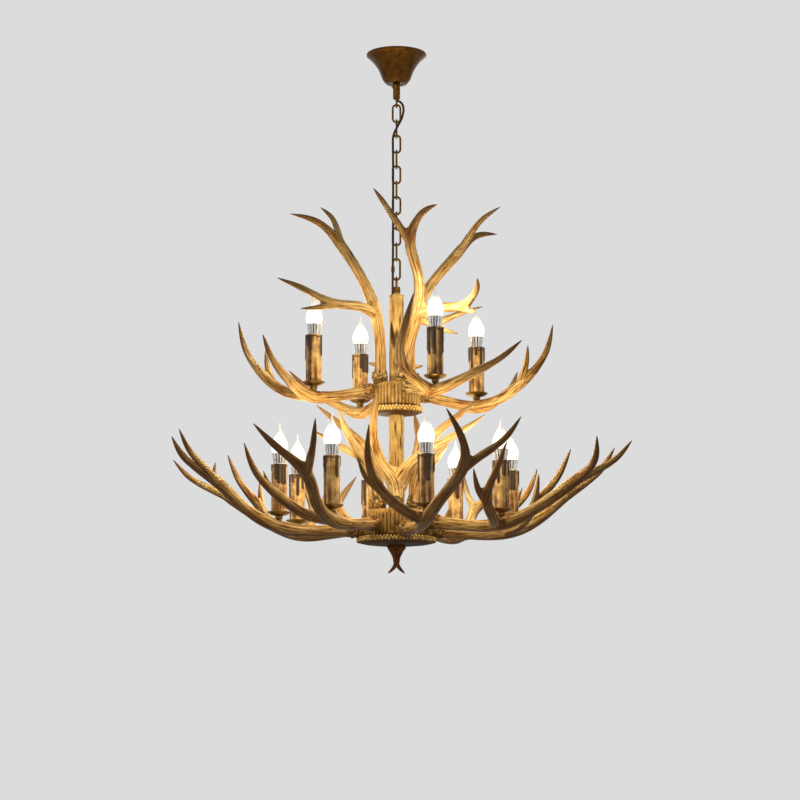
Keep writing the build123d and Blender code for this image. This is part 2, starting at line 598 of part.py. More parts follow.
# Candle lamps, each drawn upright on its seat
def drip_cup():
    rim = CUP_STEM_HEIGHT + CUP_HEIGHT
    floor = CUP_STEM_HEIGHT
    bore = TUBE_D / 2 + SLIP_FIT
    return revolved([
        (bore, 0), (CUP_STEM_D / 2, 0), (CUP_STEM_D / 2 - 2, 3), (CUP_STEM_D / 2 - 1, floor - 2),
        (SLEEVE_D / 2, floor), (CUP_D / 2 - 1, rim - 2.5), (CUP_D / 2, rim - CUP_WALL), (CUP_D / 2, rim),
        (CUP_D / 2 - CUP_WALL, rim), (SLEEVE_D / 2 + 1, floor + CUP_WALL), (bore, floor + CUP_WALL),
    ])


def candle_sleeve():
    foot = CUP_TOP_OF_STEM
    sleeve = ring(SLEEVE_D, SLEEVE_BORE, foot, foot + SLEEVE_LENGTH)
    top = foot + SLEEVE_LENGTH - RIM_WAX_D / 2
    sleeve += Pos(0, 0, top) * Torus(SLEEVE_D / 2 - 0.6, RIM_WAX_D / 2)
    drips = []
    for k, length in enumerate(DRIP_LENGTHS):
        run = Pos(SLEEVE_D / 2 - 0.4, 0, top - length / 2) * Cylinder(DRIP_D / 2 - 0.5, length)
        bead = Pos(SLEEVE_D / 2 - 0.4, 0, top - length) * Sphere(DRIP_D / 2)
        drips.append(Rot(0, 0, 360 * k / len(DRIP_LENGTHS)) * (run + bead))
    sleeve = sleeve.fuse(*drips)
    sleeve -= Pos(0, 0, foot + SLEEVE_LENGTH / 2) * Cylinder(SLEEVE_BORE / 2, SLEEVE_LENGTH)
    return sleeve


def lamp_holder():
    foot = CUP_TOP_OF_STEM
    holder = ring(HOLDER_D, 2 * (BULB_CAP_D / 2 + LINK_CLEARANCE), foot, foot + HOLDER_HEIGHT)
    holder += Pos(0, 0, foot + HOLDER_FLOOR / 2) * Cylinder(HOLDER_D / 2, HOLDER_FLOOR)
    holder += Pos(0, 0, foot - HOLDER_STEM_LENGTH / 2) * Cylinder(TUBE_D / 2, HOLDER_STEM_LENGTH)
    wire_way = Pos(0, 0, foot) * Cylinder(TUBE_BORE / 2, 2 * HOLDER_STEM_LENGTH)
    return holder - wire_way


def bulb():
    collar_foot = CUP_TOP_OF_STEM + SLEEVE_LENGTH + LINK_CLEARANCE
    collar_top = collar_foot + BULB_COLLAR_HEIGHT
    holder_top = CUP_TOP_OF_STEM + HOLDER_HEIGHT
    tip = collar_top + BULB_GLASS_HEIGHT
    cap = Pos(0, 0, holder_top - BULB_CAP_LENGTH / 2) * Cylinder(BULB_CAP_D / 2, BULB_CAP_LENGTH)
    neck = Pos(0, 0, (holder_top + collar_foot) / 2) * Cylinder(BULB_CAP_D / 2, collar_foot - holder_top)
    collar = Pos(0, 0, collar_foot + BULB_COLLAR_HEIGHT / 2)
    collar *= Cone(BULB_COLLAR_FOOT_D / 2, BULB_COLLAR_TOP_D / 2, BULB_COLLAR_HEIGHT)
    slot = Pos(BULB_COLLAR_TOP_D / 2, 0, collar_foot + BULB_COLLAR_HEIGHT / 2)
    slot *= Rot(0, math.degrees(math.atan2(BULB_COLLAR_TOP_D - BULB_COLLAR_FOOT_D, 2 * BULB_COLLAR_HEIGHT)), 0)
    slot *= Box(2 * BULB_FIN_DEPTH + 4, BULB_FIN_SLOT, BULB_COLLAR_HEIGHT - 5)
    collar = collar.cut(*[Rot(0, 0, 360 * k / BULB_FIN_COUNT) * slot for k in range(BULB_FIN_COUNT)])
    flame = Spline(
        (BULB_COLLAR_TOP_D / 2, 0, collar_top), (BULB_D / 2, 0, collar_top + 11),
        (BULB_D * 0.34, 0, collar_top + 34), (3.2, 0, collar_top + 53), (1.4, 0, tip - 1),
        tangents=[(0.35, 0, 1), (-0.03, 0, 1)],
    )
    edge = Polyline(
        (1.4, 0, tip - 1), (0.7, 0, tip), (0, 0, tip), (0, 0, collar_top),
        (BULB_COLLAR_TOP_D / 2, 0, collar_top),
    )
    glass = revolve(make_face(flame + edge), Axis.Z)
    return glass.fuse(collar, neck, cap)


def supply_cord():
    """Round cord along its route, with every bend as wide as its two runs allow."""
    points = [Vector(*p) for p in CORD_ROUTE]
    radii = []
    for a, b, c in zip(points, points[1:], points[2:]):
        turn = math.radians((b - a).get_angle(c - b))
        radii.append(0.45 * min((b - a).length, (c - b).length) / math.tan(turn / 2))
    line = FilletPolyline(*points, radius=radii)
    print("cord length", round(line.length, 1), "tightest bend", round(min(radii), 1))
    section = Plane(line @ 0, z_dir=line % 0) * Circle(CORD_D / 2)
    cord = sweep(section, path=line)
    plain_volume = math.pi * CORD_D ** 2 / 4 * line.length
    print("cord volume over section times length", round(cord.volume / plain_volume, 4))
    return cord


def build():
    os.makedirs("parts", exist_ok=True)
    export("ceiling_plate", ceiling_plate())
    export("plate_nut", hex_nut(-PLATE_THICKNESS))
    export("canopy", canopy())
    export("canopy_tube", canopy_tube())
    export("chain_collar", chain_collar())
    export("collar_screw", set_screw())
    for k in range(LINK_COUNT):
        export(f"chain_link_{k + 1:02d}", chain_link(k))
    export("screw_link", screw_link())
    export("screw_link_sleeve", screw_sleeve())
    export("supply_cord", supply_cord())

    export("top_loop", top_loop())
    export("loop_nut", hex_nut(LOOP_BASE_BOTTOM))
    export("centre_tube", centre_tube())
    export("column_upper", column_upper())
    export("column_lower", column_lower())
    upper_feet = UPPER_ARMS + CROWN
    lower_feet = LOWER_ARMS + SPRAY
    upper_sides = [upper_azimuth(k) for k in range(UPPER_ARM_COUNT)]
    lower_sides = [lower_azimuth(k) for k in range(LOWER_ARM_COUNT)]
    export("hub_upper", hub(
        UPPER_HUB_BARREL_D, UPPER_HUB_RING_D, UPPER_HUB_BOTTOM, UPPER_HUB_TOP,
        UPPER_HUB_RIBS, upper_feet, upper_sides,
    ))
    export("hub_lower", hub(
        LOWER_HUB_BARREL_D, LOWER_HUB_RING_D, LOWER_HUB_BOTTOM, LOWER_HUB_TOP,
        LOWER_HUB_RIBS, lower_feet, lower_sides,
    ))
    export("finial", finial())
    export("antler_studs", *[foot * stud() for foot in upper_feet + lower_feet])

    large = casting(LARGE_TRUNK, LARGE_TRUNK_R, LARGE_BRANCHES)
    small = casting(SMALL_TRUNK, SMALL_TRUNK_R, SMALL_BRANCHES)
    crown = casting(LARGE_TRUNK, LARGE_TRUNK_R, LARGE_BRANCHES, CROWN_SIZE)
    spray = casting(SPRAY_TRUNK, SPRAY_TRUNK_R, SPRAY_BRANCHES)
    for k, (place, lamp) in enumerate(zip(LOWER_ARMS, LOWER_LAMPS)):
        export(f"lower_arm_{k + 1}", (place * large) - (lamp * seat_cut()))
    for k, (place, lamp) in enumerate(zip(UPPER_ARMS, UPPER_LAMPS)):
        export(f"upper_arm_{k + 1}", (place * small) - (lamp * seat_cut()))
    for k, place in enumerate(CROWN):
        export(f"crown_antler_{k + 1}", place * crown)
    export("spray_antlers", *[place * spray for place in SPRAY])

    cup, sleeve, holder, lamp_bulb = drip_cup(), candle_sleeve(), lamp_holder(), bulb()
    export("drip_cups", *[lamp * cup for lamp in LAMPS])
    export("candle_sleeves", *[lamp * (Rot(0, 0, 67 * k) * sleeve) for k, lamp in enumerate(LAMPS)])
    export("lamp_holders", *[lamp * holder for lamp in LAMPS])
    for k, lamp in enumerate(LAMPS):
        export(f"bulb_{k + 1:02d}", lamp * lamp_bulb)


build()
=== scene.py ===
"""Looks of the two-tier antler chandelier: modelled antlers, candles, bulbs and aged metal.

Named sizes and the castings' points are in millimetres. Places taken from the frame, and those of the camera
and the stage, are in metres.
"""
import json
import math

import bmesh
import bpy
import numpy as np
from mathutils import Matrix, Vector, noise


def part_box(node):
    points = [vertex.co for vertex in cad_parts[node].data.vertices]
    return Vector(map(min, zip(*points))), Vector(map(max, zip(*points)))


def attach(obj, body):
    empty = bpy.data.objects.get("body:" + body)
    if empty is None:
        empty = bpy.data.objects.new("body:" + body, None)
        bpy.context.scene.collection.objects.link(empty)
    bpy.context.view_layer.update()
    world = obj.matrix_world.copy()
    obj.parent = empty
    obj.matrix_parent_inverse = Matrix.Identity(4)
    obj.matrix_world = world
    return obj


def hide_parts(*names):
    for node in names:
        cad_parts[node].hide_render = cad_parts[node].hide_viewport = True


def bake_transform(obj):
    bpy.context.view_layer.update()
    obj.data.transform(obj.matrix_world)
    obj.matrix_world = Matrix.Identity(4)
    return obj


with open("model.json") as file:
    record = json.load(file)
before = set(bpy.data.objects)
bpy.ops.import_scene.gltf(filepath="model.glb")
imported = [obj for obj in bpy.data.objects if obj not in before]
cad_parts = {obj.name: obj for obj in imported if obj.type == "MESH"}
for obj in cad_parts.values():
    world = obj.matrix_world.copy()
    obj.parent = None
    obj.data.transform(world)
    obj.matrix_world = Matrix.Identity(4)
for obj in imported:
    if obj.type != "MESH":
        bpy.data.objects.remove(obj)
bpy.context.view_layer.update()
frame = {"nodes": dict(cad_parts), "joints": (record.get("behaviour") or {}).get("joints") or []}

MM = 0.001
FULL_TURN = 2 * math.pi

# Camera of the photograph
CAMERA_PLACE = (0.0077, -5.0, -1.5018)
CAMERA_PITCH_UP = 8.2
CAMERA_LENS = 103.8
CAMERA_SENSOR = 36.0

# Heights read from the frame
COLUMN_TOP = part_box("column_upper")[1][2]
UPPER_HUB_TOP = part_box("column_upper")[0][2]
UPPER_HUB_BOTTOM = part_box("column_lower")[1][2]
LOWER_HUB_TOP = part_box("column_lower")[0][2]
LOWER_HUB_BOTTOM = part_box("finial")[1][2]

# Where the castings stand, in millimetres and degrees
FOOT_CLEARANCE = 1.5
LOWER_ARM_FIRST = 13.4
LOWER_FOOT_DROP = 38.0
UPPER_ARM_FIRST = 24.8
UPPER_FOOT_DROP = 21.0
LOWER_HUB_RING_D = 176.0
UPPER_HUB_RING_D = 118.0
LOWER_ARM_SET = [
    (3.5, -3.5), (-3.5, 4.0), (1.5, 1.0), (-3.0, 1.5),
    (-3.5, -1.0), (-1.5, -2.0), (2.0, 0.0), (-1.5, 1.2),
]
UPPER_ARM_SET = [(-3.0, -3.0), (0.4, 0.5), (2.0, 1.6), (0.2, 0.8)]
CROWN_SIZE = 0.93
CROWN_SET = [(-9.5, 0.165, 0.26), (92.0, 0.09, 0.19), (-116.0, -0.02, 0.27)]
CROWN_FOOT_OUT = 30.0
CROWN_FOOT_ASIDE = 20.0
SPRAY_COUNT = 4
SPRAY_FOOT_OUT = 39.0
FOOT_RISE = 8.0

# Painted light and shade of each tier's antlers: how much lighter the whole tier is painted, how much
# lighter faces towards the bulbs and darker faces away from them are painted, and how much painted shade
# faces away from the bulbs get
LOWER_PAINT = (0.0, 0.15, 0.66)
UPPER_PAINT = (0.005, 0.06, 0.15)
CROWN_PAINT = (0.025, 0.04, 0.24)
SPRAY_PAINT = (0.045, 0.04, 0.0)

# Castings in their own frames: centre line points and beam radii
LARGE_SEAT = (170.0, 2.0, -2.0)
LARGE_TRUNK = [
    (0, 0, 0), (85, 4, -7), LARGE_SEAT, (250, 16, 34), (316, 38, 84), (378, 18, 128), (407, -25, 182),
]
LARGE_TRUNK_R = [14.0, 12.5, 14.5, 12.0, 12.5, 8.0, 1.4]
LARGE_BRANCHES = [
    ([(305, 33, 75), (342, 66, 104), (384, 104, 136), (413, 129, 179)], [10.0, 8.6, 6.4, 1.3]),
    (
        [(150, 3, -3), (178, -48, 10), (194, -104, 48), (232, -140, 100), (265, -149, 166)],
        [11.5, 11.5, 11.0, 7.6, 1.4],
    ),
    ([(190, -92, 40), (189, -128, 64), (190, -154, 112)], [8.5, 7.0, 1.3]),
    ([(33, 1, -2), (37, 2, 14), (41, 3, 29)], [8.0, 5.0, 1.4]),
]
SMALL_SEAT = (136.0, 0.0, -20.0)
SMALL_TRUNK = [(0, 0, 0), (70, 0, -13), SMALL_SEAT, (222, 44, 14), (270, 84, 48), (299, 114, 85)]
SMALL_TRUNK_R = [13.0, 11.8, 13.8, 9.6, 6.4, 1.4]
SMALL_BRANCHES = [
    (
        [(122, 0, -18), (162, -56, -8), (194, -110, 26), (238, -129, 84), (263, -124, 156)],
        [11.0, 11.0, 11.0, 7.2, 1.4],
    ),
    ([(189, -100, 18), (192, -128, 58), (193, -138, 105)], [8.4, 6.6, 1.3]),
    ([(32, 0, -4), (35, 2, 12), (38, 3, 27)], [7.6, 4.8, 1.4]),
]
SPRAY_TRUNK = [(0, 0, 0), (54, 6, 8), (84, 28, 14), (127, 46, 26), (186, 47, 84), (230, 40, 138)]
SPRAY_TRUNK_R = [15.0, 19.0, 13.0, 10.8, 7.8, 1.4]
SPRAY_BRANCHES = [
    (
        [(44, 4, 6), (70, -14, 18), (100, -44, 36), (140, -116, 62), (186, -190, 84)],
        [15.0, 13.5, 11.0, 8.4, 1.4],
    ),
]
SEAT_RISE = 10.0
SEAT_FLAT_R = 9.0
BURR_R = 17.6
BURR_TAPER = 2.5
BURR_START = 3.0
BURR_END = 18.0
ANTLER_VOXEL = 1.5
ANTLER_EASE = 11
ANTLER_SAMPLE = 2.0
GROOVE_DEPTH = 0.85
PEARL_DEPTH = 3.4
PEARL_SIZE = 4.6
GRAIN_LENGTH = 250.0
BEAM_SHIFT = 9.7
WEB_REACH = 3.3
WEB_SIZE = 0.66

# Candle lamps, from the seat upwards, in millimetres
LAMP_COUNT = 12
CUP_STEM_HEIGHT = 15.0
CUP_HEIGHT = 7.0
CUP_WALL = 1.8
CUP_D = 50.0
CUP_STEM_D = 16.0
CUP_HOLE_R = 5.2
SLEEVE_D = 35.0
SLEEVE_BORE = 27.0
SLEEVE_LENGTH = 107.0
CANDLE_KINDS = 4
DRIP_COUNT = 11
BULB_GAP = 0.3
BULB_COLLAR_FOOT_D = 25.0
BULB_COLLAR_TOP_D = 33.0
BULB_COLLAR_HEIGHT = 24.0
BULB_D = 36.0
BULB_GLASS_HEIGHT = 66.0
BULB_FIN_COUNT = 14
BULB_FIN_STEPS = 8
BULB_FIN_GAP_FROM = 5
BULB_FIN_DEPTH = 1.7
BULB_CAP_D = 13.6
BULB_CAP_LENGTH = 26.0
BULB_CAP_MIDDLE = -13.2
LAMP_HEIGHT = CUP_STEM_HEIGHT + CUP_WALL + SLEEVE_LENGTH + BULB_GAP + BULB_COLLAR_HEIGHT + BULB_GLASS_HEIGHT

# Hubs, columns and tail piece, in millimetres
HUB_SHOULDER = 12.0
HUB_BEAD_D = 9.0
HUB_BEAD_SINK = 0.8
HUB_BEAD_PACKING = 1.12
HUB_ROW = 1.6
HUB_RIB_STEPS = 12
HUB_RING_RISE = 9.0
HUB_RING_THICKNESS = 8.0
UPPER_HUB_BARREL_D = 102.0
UPPER_HUB_RIBS = 40
LOWER_HUB_BARREL_D = 150.0
LOWER_HUB_RIBS = 56
BOSS_D = 33.0
BOSS_DEPTH = 22.0
BOSS_ROUGHNESS = 1.3
COLUMN_D = 33.0
COLUMN_ROW = 2.0
COLUMN_SIDES = 120
FINIAL_TOP_D = 43.0
FINIAL_WAIST_D = 14.0
FINIAL_HEIGHT = 60.0
FINIAL_CAP_HEIGHT = 10.0
FINIAL_TAIL_LENGTH = 24.0
FINIAL_TAIL_SPREAD = 18.0
FINIAL_TAIL_D = 9.0

# Canopy: share of the rim radius, share of the height, from the rim down
CANOPY_RIM_D = 134.0
CANOPY_HEIGHT = 68.0
CANOPY_WALL = 1.5
CANOPY_FLAT_D = 46.0
CANOPY_OUTLINE = [(1.0, 0.05), (0.87, 0.17), (0.665, 0.42), (0.53, 0.69), (0.46, 0.86)]
TUBE_D = 10.0
TUBE_GAP = 0.4

# Chain and cord
LINK_COUNT = 10
LINK_WIRE_D = 4.5
CORD_D = 5.0
CORD_SIDES = 14
CORD_ROUTE = [
    (0, 0, -94), (0, 0, -106), (10.5, 0, -110), (16, 0, -121), (15.2, -4, -136), (10.5, -11.5, -154),
    (0.5, -15.4, -172), (-7.8, -11.2, -189), (-8.3, -8.5, -207), (-7.6, -7.6, -232), (-7.5, -7.7, -306),
    (-7.7, -7.5, -380), (-7.6, -7.8, -440), (-8.2, -8.6, -474), (-8.4, -8.7, -514), (-8.6, -8.7, -536),
    (-8.6, -8.7, -556),
]

# Bulbs: the strength of their light, and how bright the glass looks
BULB_GLOW = 82.0
BULB_LOOK = 1.02
BULB_TIP_LOOK = 0.45
BULB_LIGHT_TINT = (1.0, 0.86, 0.60)
BULB_TINT = (1.0, 0.965, 0.88)

# Stage: brightness of backdrop and floor, and the studio lights' place, size, power and colour
BACKDROP = 0.716
WORLD_LIGHT = 0.17
FLOOR_Z = -2.3
FLOOR_REACH = 14.0
FLOOR_GREY = 0.74
FLOOR_LOOK = 0.50
WHITE = (1.0, 1.0, 1.0, 1.0)
LIGHTS_AIM = (0, 0, -0.8)
STUDIO_LIGHTS = [
    ("key_light", (-2.6, -3.6, 0.6), 2.4, 26.0, (1.0, 0.97, 0.93)),
    ("fill_light", (3.4, -2.6, -0.4), 2.6, 8.0, (0.95, 0.97, 1.0)),
    ("rim_light", (0.6, 3.8, 0.9), 2.4, 36.0, (1.0, 0.98, 0.95)),
]

# Sockets of the colour mix node, which have no names of their own
MIX_FIRST = 6
MIX_SECOND = 7
MIX_RESULT = 2


# Shader helpers
def fill(tree, node, inputs):
    """Set or link a node's inputs."""
    for key, value in inputs.items():
        if isinstance(value, bpy.types.NodeSocket):
            tree.links.new(value, node.inputs[key])
        else:
            node.inputs[key].default_value = value


def add(tree, kind, inputs=None, **settings):
    """New shader node with its settings, values and links."""
    made = tree.nodes.new(kind)
    for key, value in settings.items():
        setattr(made, key, value)
    fill(tree, made, inputs or {})
    return made


def ramp(tree, factor, stops):
    """Colour ramp over a factor, from (position, colour) stops."""
    made = add(tree, "ShaderNodeValToRGB", {"Fac": factor})
    band = made.color_ramp
    while len(band.elements) < len(stops):
        band.elements.new(0.5)
    for element, (position, colour) in zip(band.elements, stops):
        element.position = position
        element.color = (*colour, 1.0)
    return made.outputs["Color"]


def spread(tree, factor, low, high):
    """Smooth step of a factor between two values, from 0 to 1."""
    made = add(tree, "ShaderNodeMapRange", {"Value": factor, "From Min": low, "From Max": high},
               interpolation_type="SMOOTHSTEP")
    return made.outputs["Result"]


def ranged(tree, factor, low, high):
    """Straight range from low at factor 0 to high at factor 1."""
    made = add(tree, "ShaderNodeMapRange", {"Value": factor, "To Min": low, "To Max": high})
    return made.outputs["Result"]


def mixed(tree, factor, first, second):
    """Mix of two colours, of which the second is a plain one or a socket."""
    made = add(tree, "ShaderNodeMix", {"Factor": factor}, data_type="RGBA", blend_type="MIX")
    plain = not isinstance(second, bpy.types.NodeSocket)
    fill(tree, made, {MIX_FIRST: first, MIX_SECOND: (*second, 1.0) if plain else second})
    return made.outputs[MIX_RESULT]


def maths(tree, first, second, operation="MULTIPLY"):
    """One step of arithmetic on factors."""
    return add(tree, "ShaderNodeMath", {0: first, 1: second}, operation=operation).outputs[0]


def shared(tree, first, share, second):
    """Sum of two factors: the first by its share, the second by the rest."""
    return maths(tree, maths(tree, first, share), maths(tree, second, 1 - share), "ADD")


def grain(tree, vector, scale, detail=4.0, roughness=0.6, distortion=0.0):
    """Noise factor over a coordinate."""
    made = add(tree, "ShaderNodeTexNoise", {
        "Vector": vector, "Scale": scale, "Detail": detail, "Roughness": roughness, "Distortion": distortion,
    })
    return made.outputs["Fac"]


def stretched(tree, vector, scale):
    return add(tree, "ShaderNodeMapping", {"Vector": vector, "Scale": scale}).outputs["Vector"]


def attribute(tree, name, output="Fac"):
    return add(tree, "ShaderNodeAttribute", attribute_name=name).outputs[output]


def object_place(tree):
    return add(tree, "ShaderNodeTexCoord").outputs["Object"]


def seen_by(tree, *rays):
    """Factor that is 1 for the named kinds of ray and 0 for all others."""
    paths = add(tree, "ShaderNodeLightPath").outputs
    seen = paths[rays[0]]
    for ray in rays[1:]:
        seen = maths(tree, seen, paths[ray], "MAXIMUM")
    return seen


def halfway(first, second):
    return tuple(0.5 * (a + b) for a, b in zip(first, second))


def new_material(name):
    """Empty principled material: the material, its node tree and its shader."""
    material = bpy.data.materials.new(name)
    material.use_nodes = True
    tree = material.node_tree
    return material, tree, tree.nodes["Principled BSDF"]


def bump(tree, shader, height, distance, strength):
    made = add(tree, "ShaderNodeBump", {"Height": height, "Distance": distance, "Strength": strength})
    tree.links.new(made.outputs["Normal"], shader.inputs["Normal"])


# Materials
def antler_material():
    """Resin antler: gold with lengthwise brown streaks, thin dark grooves and dark tips, with painted light
    and painted shade by how each face turns to the bulbs.
    """
    material, tree, shader = new_material("antler_resin")
    along = attribute(tree, "grain", "Vector")
    streaks = grain(tree, along, 3.4, 5.0, 0.60, 0.25)
    fine = grain(tree, along, 12.0, 4.0, 0.7)
    patches = grain(tree, object_place(tree), 15.0, 3.0)
    tone = shared(tree, streaks, 0.70, fine)
    tone = maths(tree, tone, maths(tree, maths(tree, patches, 0.5, "SUBTRACT"), 0.34), "ADD")
    # painted light: lighter where a face turns towards the bulbs and upwards, darker where it turns away
    tone = maths(tree, tone, attribute(tree, "painted_light"), "ADD")
    colour = ramp(tree, tone, [
        (0.34, (0.050, 0.016, 0.005)), (0.42, (0.230, 0.086, 0.020)),
        (0.50, (0.600, 0.340, 0.090)), (0.64, (0.900, 0.690, 0.320)),
    ])
    wander = maths(tree, grain(tree, along, 2.7, 3.0, 0.55, 0.2), 0.5, "SUBTRACT")
    off_line = add(tree, "ShaderNodeMath", {0: wander}, operation="ABSOLUTE").outputs[0]
    line = maths(tree, 1.0, spread(tree, off_line, 0.004, 0.030), "SUBTRACT")
    line = maths(tree, line, spread(tree, patches, 0.40, 0.60))
    groove = maths(tree, spread(tree, attribute(tree, "groove"), 0.15, 0.75), 0.78)
    colour = mixed(tree, maths(tree, line, groove, "MAXIMUM"), colour, (0.045, 0.015, 0.005))
    # painted shade: chocolate brown on faces turned away from the bulbs and downwards
    colour = mixed(tree, attribute(tree, "shade"), colour, (0.175, 0.080, 0.033))
    tip = spread(tree, attribute(tree, "tip"), 0.50, 1.0)
    colour = mixed(tree, maths(tree, tip, 0.78), colour, (0.165, 0.073, 0.027))
    rough = ranged(tree, fine, 0.40, 0.62)
    fill(tree, shader, {"Base Color": colour, "Roughness": rough, "Specular IOR Level": 0.06})
    relief = maths(tree, grain(tree, along, 3.4, 1.0), maths(tree, line, 0.25), "SUBTRACT")
    worn_smooth = maths(tree, 1.0, spread(tree, attribute(tree, "tip"), 0.25, 0.75), "SUBTRACT")
    bump(tree, shader, maths(tree, relief, worn_smooth), 0.0006, 0.5)
    return material


def stained_material(name, light, dark, relief):
    """Resin that was rubbed with dark stain, which stays in its hollows; on the hubs the same dark is also
    painted shade, and the hub's beads get painted highlights.
    """
    material, tree, shader = new_material(name)
    place = object_place(tree)
    long_grain = grain(tree, stretched(tree, place, (1.0, 1.0, 0.12)), 210.0, 6.0, 0.65, 0.4)
    tone = shared(tree, long_grain, 0.6, grain(tree, place, 40.0, 4.0))
    colour = ramp(tree, tone, [(0.34, dark), (0.47, halfway(light, dark)), (0.62, light)])
    hollow = maths(tree, spread(tree, attribute(tree, "groove"), 0.1, 0.9), 0.90)
    # dark stain in the hollows; on the hubs also painted shade on the underside, behind the bead ring and at
    # the beads' bases
    colour = mixed(tree, hollow, colour, (0.040, 0.017, 0.007))
    # painted highlights on the tops of the hub's beads
    colour = mixed(tree, attribute(tree, "gilt"), colour, (0.92, 0.60, 0.19))
    fill(tree, shader, {"Base Color": colour, "Roughness": 0.60, "Specular IOR Level": 0.02})
    bump(tree, shader, long_grain, relief, 0.8)
    return material


def candle_material():
    """Candle tube: old wax with brown runs from the top and stain round the drips."""
    material, tree, shader = new_material("candle_resin")
    place = object_place(tree)
    runs = grain(tree, stretched(tree, place, (1.0, 1.0, 0.06)), 120.0, 5.0, 0.6, 0.5)
    tone = shared(tree, runs, 0.65, grain(tree, place, 55.0, 4.0))
    colour = ramp(tree, tone, [
        (0.39, (0.075, 0.024, 0.007)), (0.47, (0.380, 0.170, 0.042)), (0.59, (0.900, 0.620, 0.220)),
    ])
    colour = mixed(tree, maths(tree, attribute(tree, "groove"), 0.95), colour, (0.030, 0.011, 0.004))
    fill(tree, shader, {"Base Color": colour, "Roughness": 0.42, "Specular IOR Level": 0.30})
    bump(tree, shader, runs, 0.0008, 0.6)
    return material


def metal_material(name, dark, light, scale, rough, metallic=0.9):
    """Aged metal: mottled patina between two colours."""
    material, tree, shader = new_material(name)
    place = object_place(tree)
    mottle = grain(tree, place, scale, 6.0, 0.7)
    broad = grain(tree, place, scale * 0.18, 3.0)
    tone = shared(tree, mottle, 0.6, broad)
    colour = ramp(tree, tone, [(0.36, dark), (0.50, halfway(light, dark)), (0.66, light)])
    patina = ranged(tree, mottle, rough - 0.1, rough + 0.14)
    fill(tree, shader, {"Base Color": colour, "Roughness": patina, "Metallic": metallic})
    bump(tree, shader, broad, 0.0004, 0.3)
    return material


def cord_material():
    material, tree, shader = new_material("cord_jacket")
    fuzz = grain(tree, object_place(tree), 900.0, 3.0)
    colour = ramp(tree, fuzz, [(0.35, (0.020, 0.011, 0.005)), (0.65, (0.060, 0.036, 0.016))])
    fill(tree, shader, {"Base Color": colour, "Roughness": 0.6, "Specular IOR Level": 0.2})
    bump(tree, shader, fuzz, 0.0002, 0.4)
    return material


def glass_material():
    """Frosted glass of a lit bulb: bright low down, fading to dull glass at the drawn-out tip."""
    material, tree, shader = new_material("bulb_glass")
    height = attribute(tree, "lit")
    seen = seen_by(tree, "Is Camera Ray", "Is Glossy Ray")
    tip_look = BULB_TIP_LOOK / BULB_GLOW
    lights = ramp(tree, height, [(0.0, (tip_look, tip_look, tip_look)), (1.0, BULB_LIGHT_TINT)])
    shows = ramp(tree, height, [
        (0.0, tuple(tip_look * c for c in BULB_TINT)),
        (1.0, tuple(BULB_LOOK / BULB_GLOW * c for c in BULB_TINT)),
    ])
    frost = grain(tree, object_place(tree), 300.0, 2.0)
    fill(tree, shader, {
        "Emission Color": mixed(tree, seen, lights, shows),
        "Emission Strength": BULB_GLOW,
        "Base Color": ramp(tree, frost, [(0.3, (0.50, 0.48, 0.44)), (0.7, (0.57, 0.55, 0.51))]),
        "Roughness": 0.25,
    })
    material.cycles.emission_sampling = "FRONT"
    return material


# Mesh helpers
def smooth_line(points, step):
    """Even samples of a natural cubic spline: places, distances along it, spans and shares of a span."""
    points = np.asarray(points, float)
    chord = np.concatenate([[0.0], np.cumsum(np.linalg.norm(np.diff(points, axis=0), axis=1))])
    count = len(points)
    matrix = np.eye(count)
    right = np.zeros_like(points)
    gaps = np.diff(chord)
    for i in range(1, count - 1):
        matrix[i, i - 1:i + 2] = gaps[i - 1], 2 * (gaps[i - 1] + gaps[i]), gaps[i]
        right[i] = 6 * ((points[i + 1] - points[i]) / gaps[i] - (points[i] - points[i - 1]) / gaps[i - 1])
    bend = np.linalg.solve(matrix, right)
    stops = np.linspace(0, chord[-1], max(4, int(chord[-1] / step)) + 1)
    span = np.clip(np.searchsorted(chord, stops, side="right") - 1, 0, count - 2)
    gap = gaps[span][:, None]
    ahead = ((stops - chord[span])[:, None]) / gap
    back = 1 - ahead
    places = back * points[span] + ahead * points[span + 1]
    places += ((back ** 3 - back) * bend[span] + (ahead ** 3 - ahead) * bend[span + 1]) * gap ** 2 / 6
    return places, stops, span, ahead[:, 0]


def steady_frame(places):
    """Direction along a line at every place, and two directions across it that don't twist."""
    along = np.gradient(places, axis=0)
    along /= np.linalg.norm(along, axis=1)[:, None]
    across = np.zeros_like(along)
    side = np.array([0.0, 1.0, 0.0])
    for i, way in enumerate(along):
        side = side - way * side.dot(way)
        side /= np.linalg.norm(side)
        across[i] = side
    return along, across, np.cross(along, across)


def beam_samples(points, radii):
    """Samples of one antler beam: place, radius, distance along it and a steady frame."""
    places, stops, span, ahead = smooth_line(points, ANTLER_SAMPLE)
    radii = np.asarray(radii, float)
    ease = np.where(span < len(points) - 2, ahead ** 2 * (3 - 2 * ahead), ahead ** 1.6)
    radius = radii[span] + (radii[span + 1] - radii[span]) * ease
    along, across, up = steady_frame(places)
    return {"place": places, "radius": radius, "stop": stops, "along": along, "across": across, "up": up}


def ring_angles(count):
    return [FULL_TURN * k / count for k in range(count)]


def around(radius, a, z):
    """Place at a radius and angle about Z."""
    return radius * math.cos(a), radius * math.sin(a), z


def bridge(builder, rings):
    """Quads between neighbouring rings of vertices."""
    for low, high in zip(rings, rings[1:]):
        for k in range(len(low)):
            j = (k + 1) % len(low)
            builder.faces.new((low[k], low[j], high[j], high[k]))


def close_ends(builder, rings):
    builder.faces.new(reversed(rings[0]))
    builder.faces.new(rings[-1])


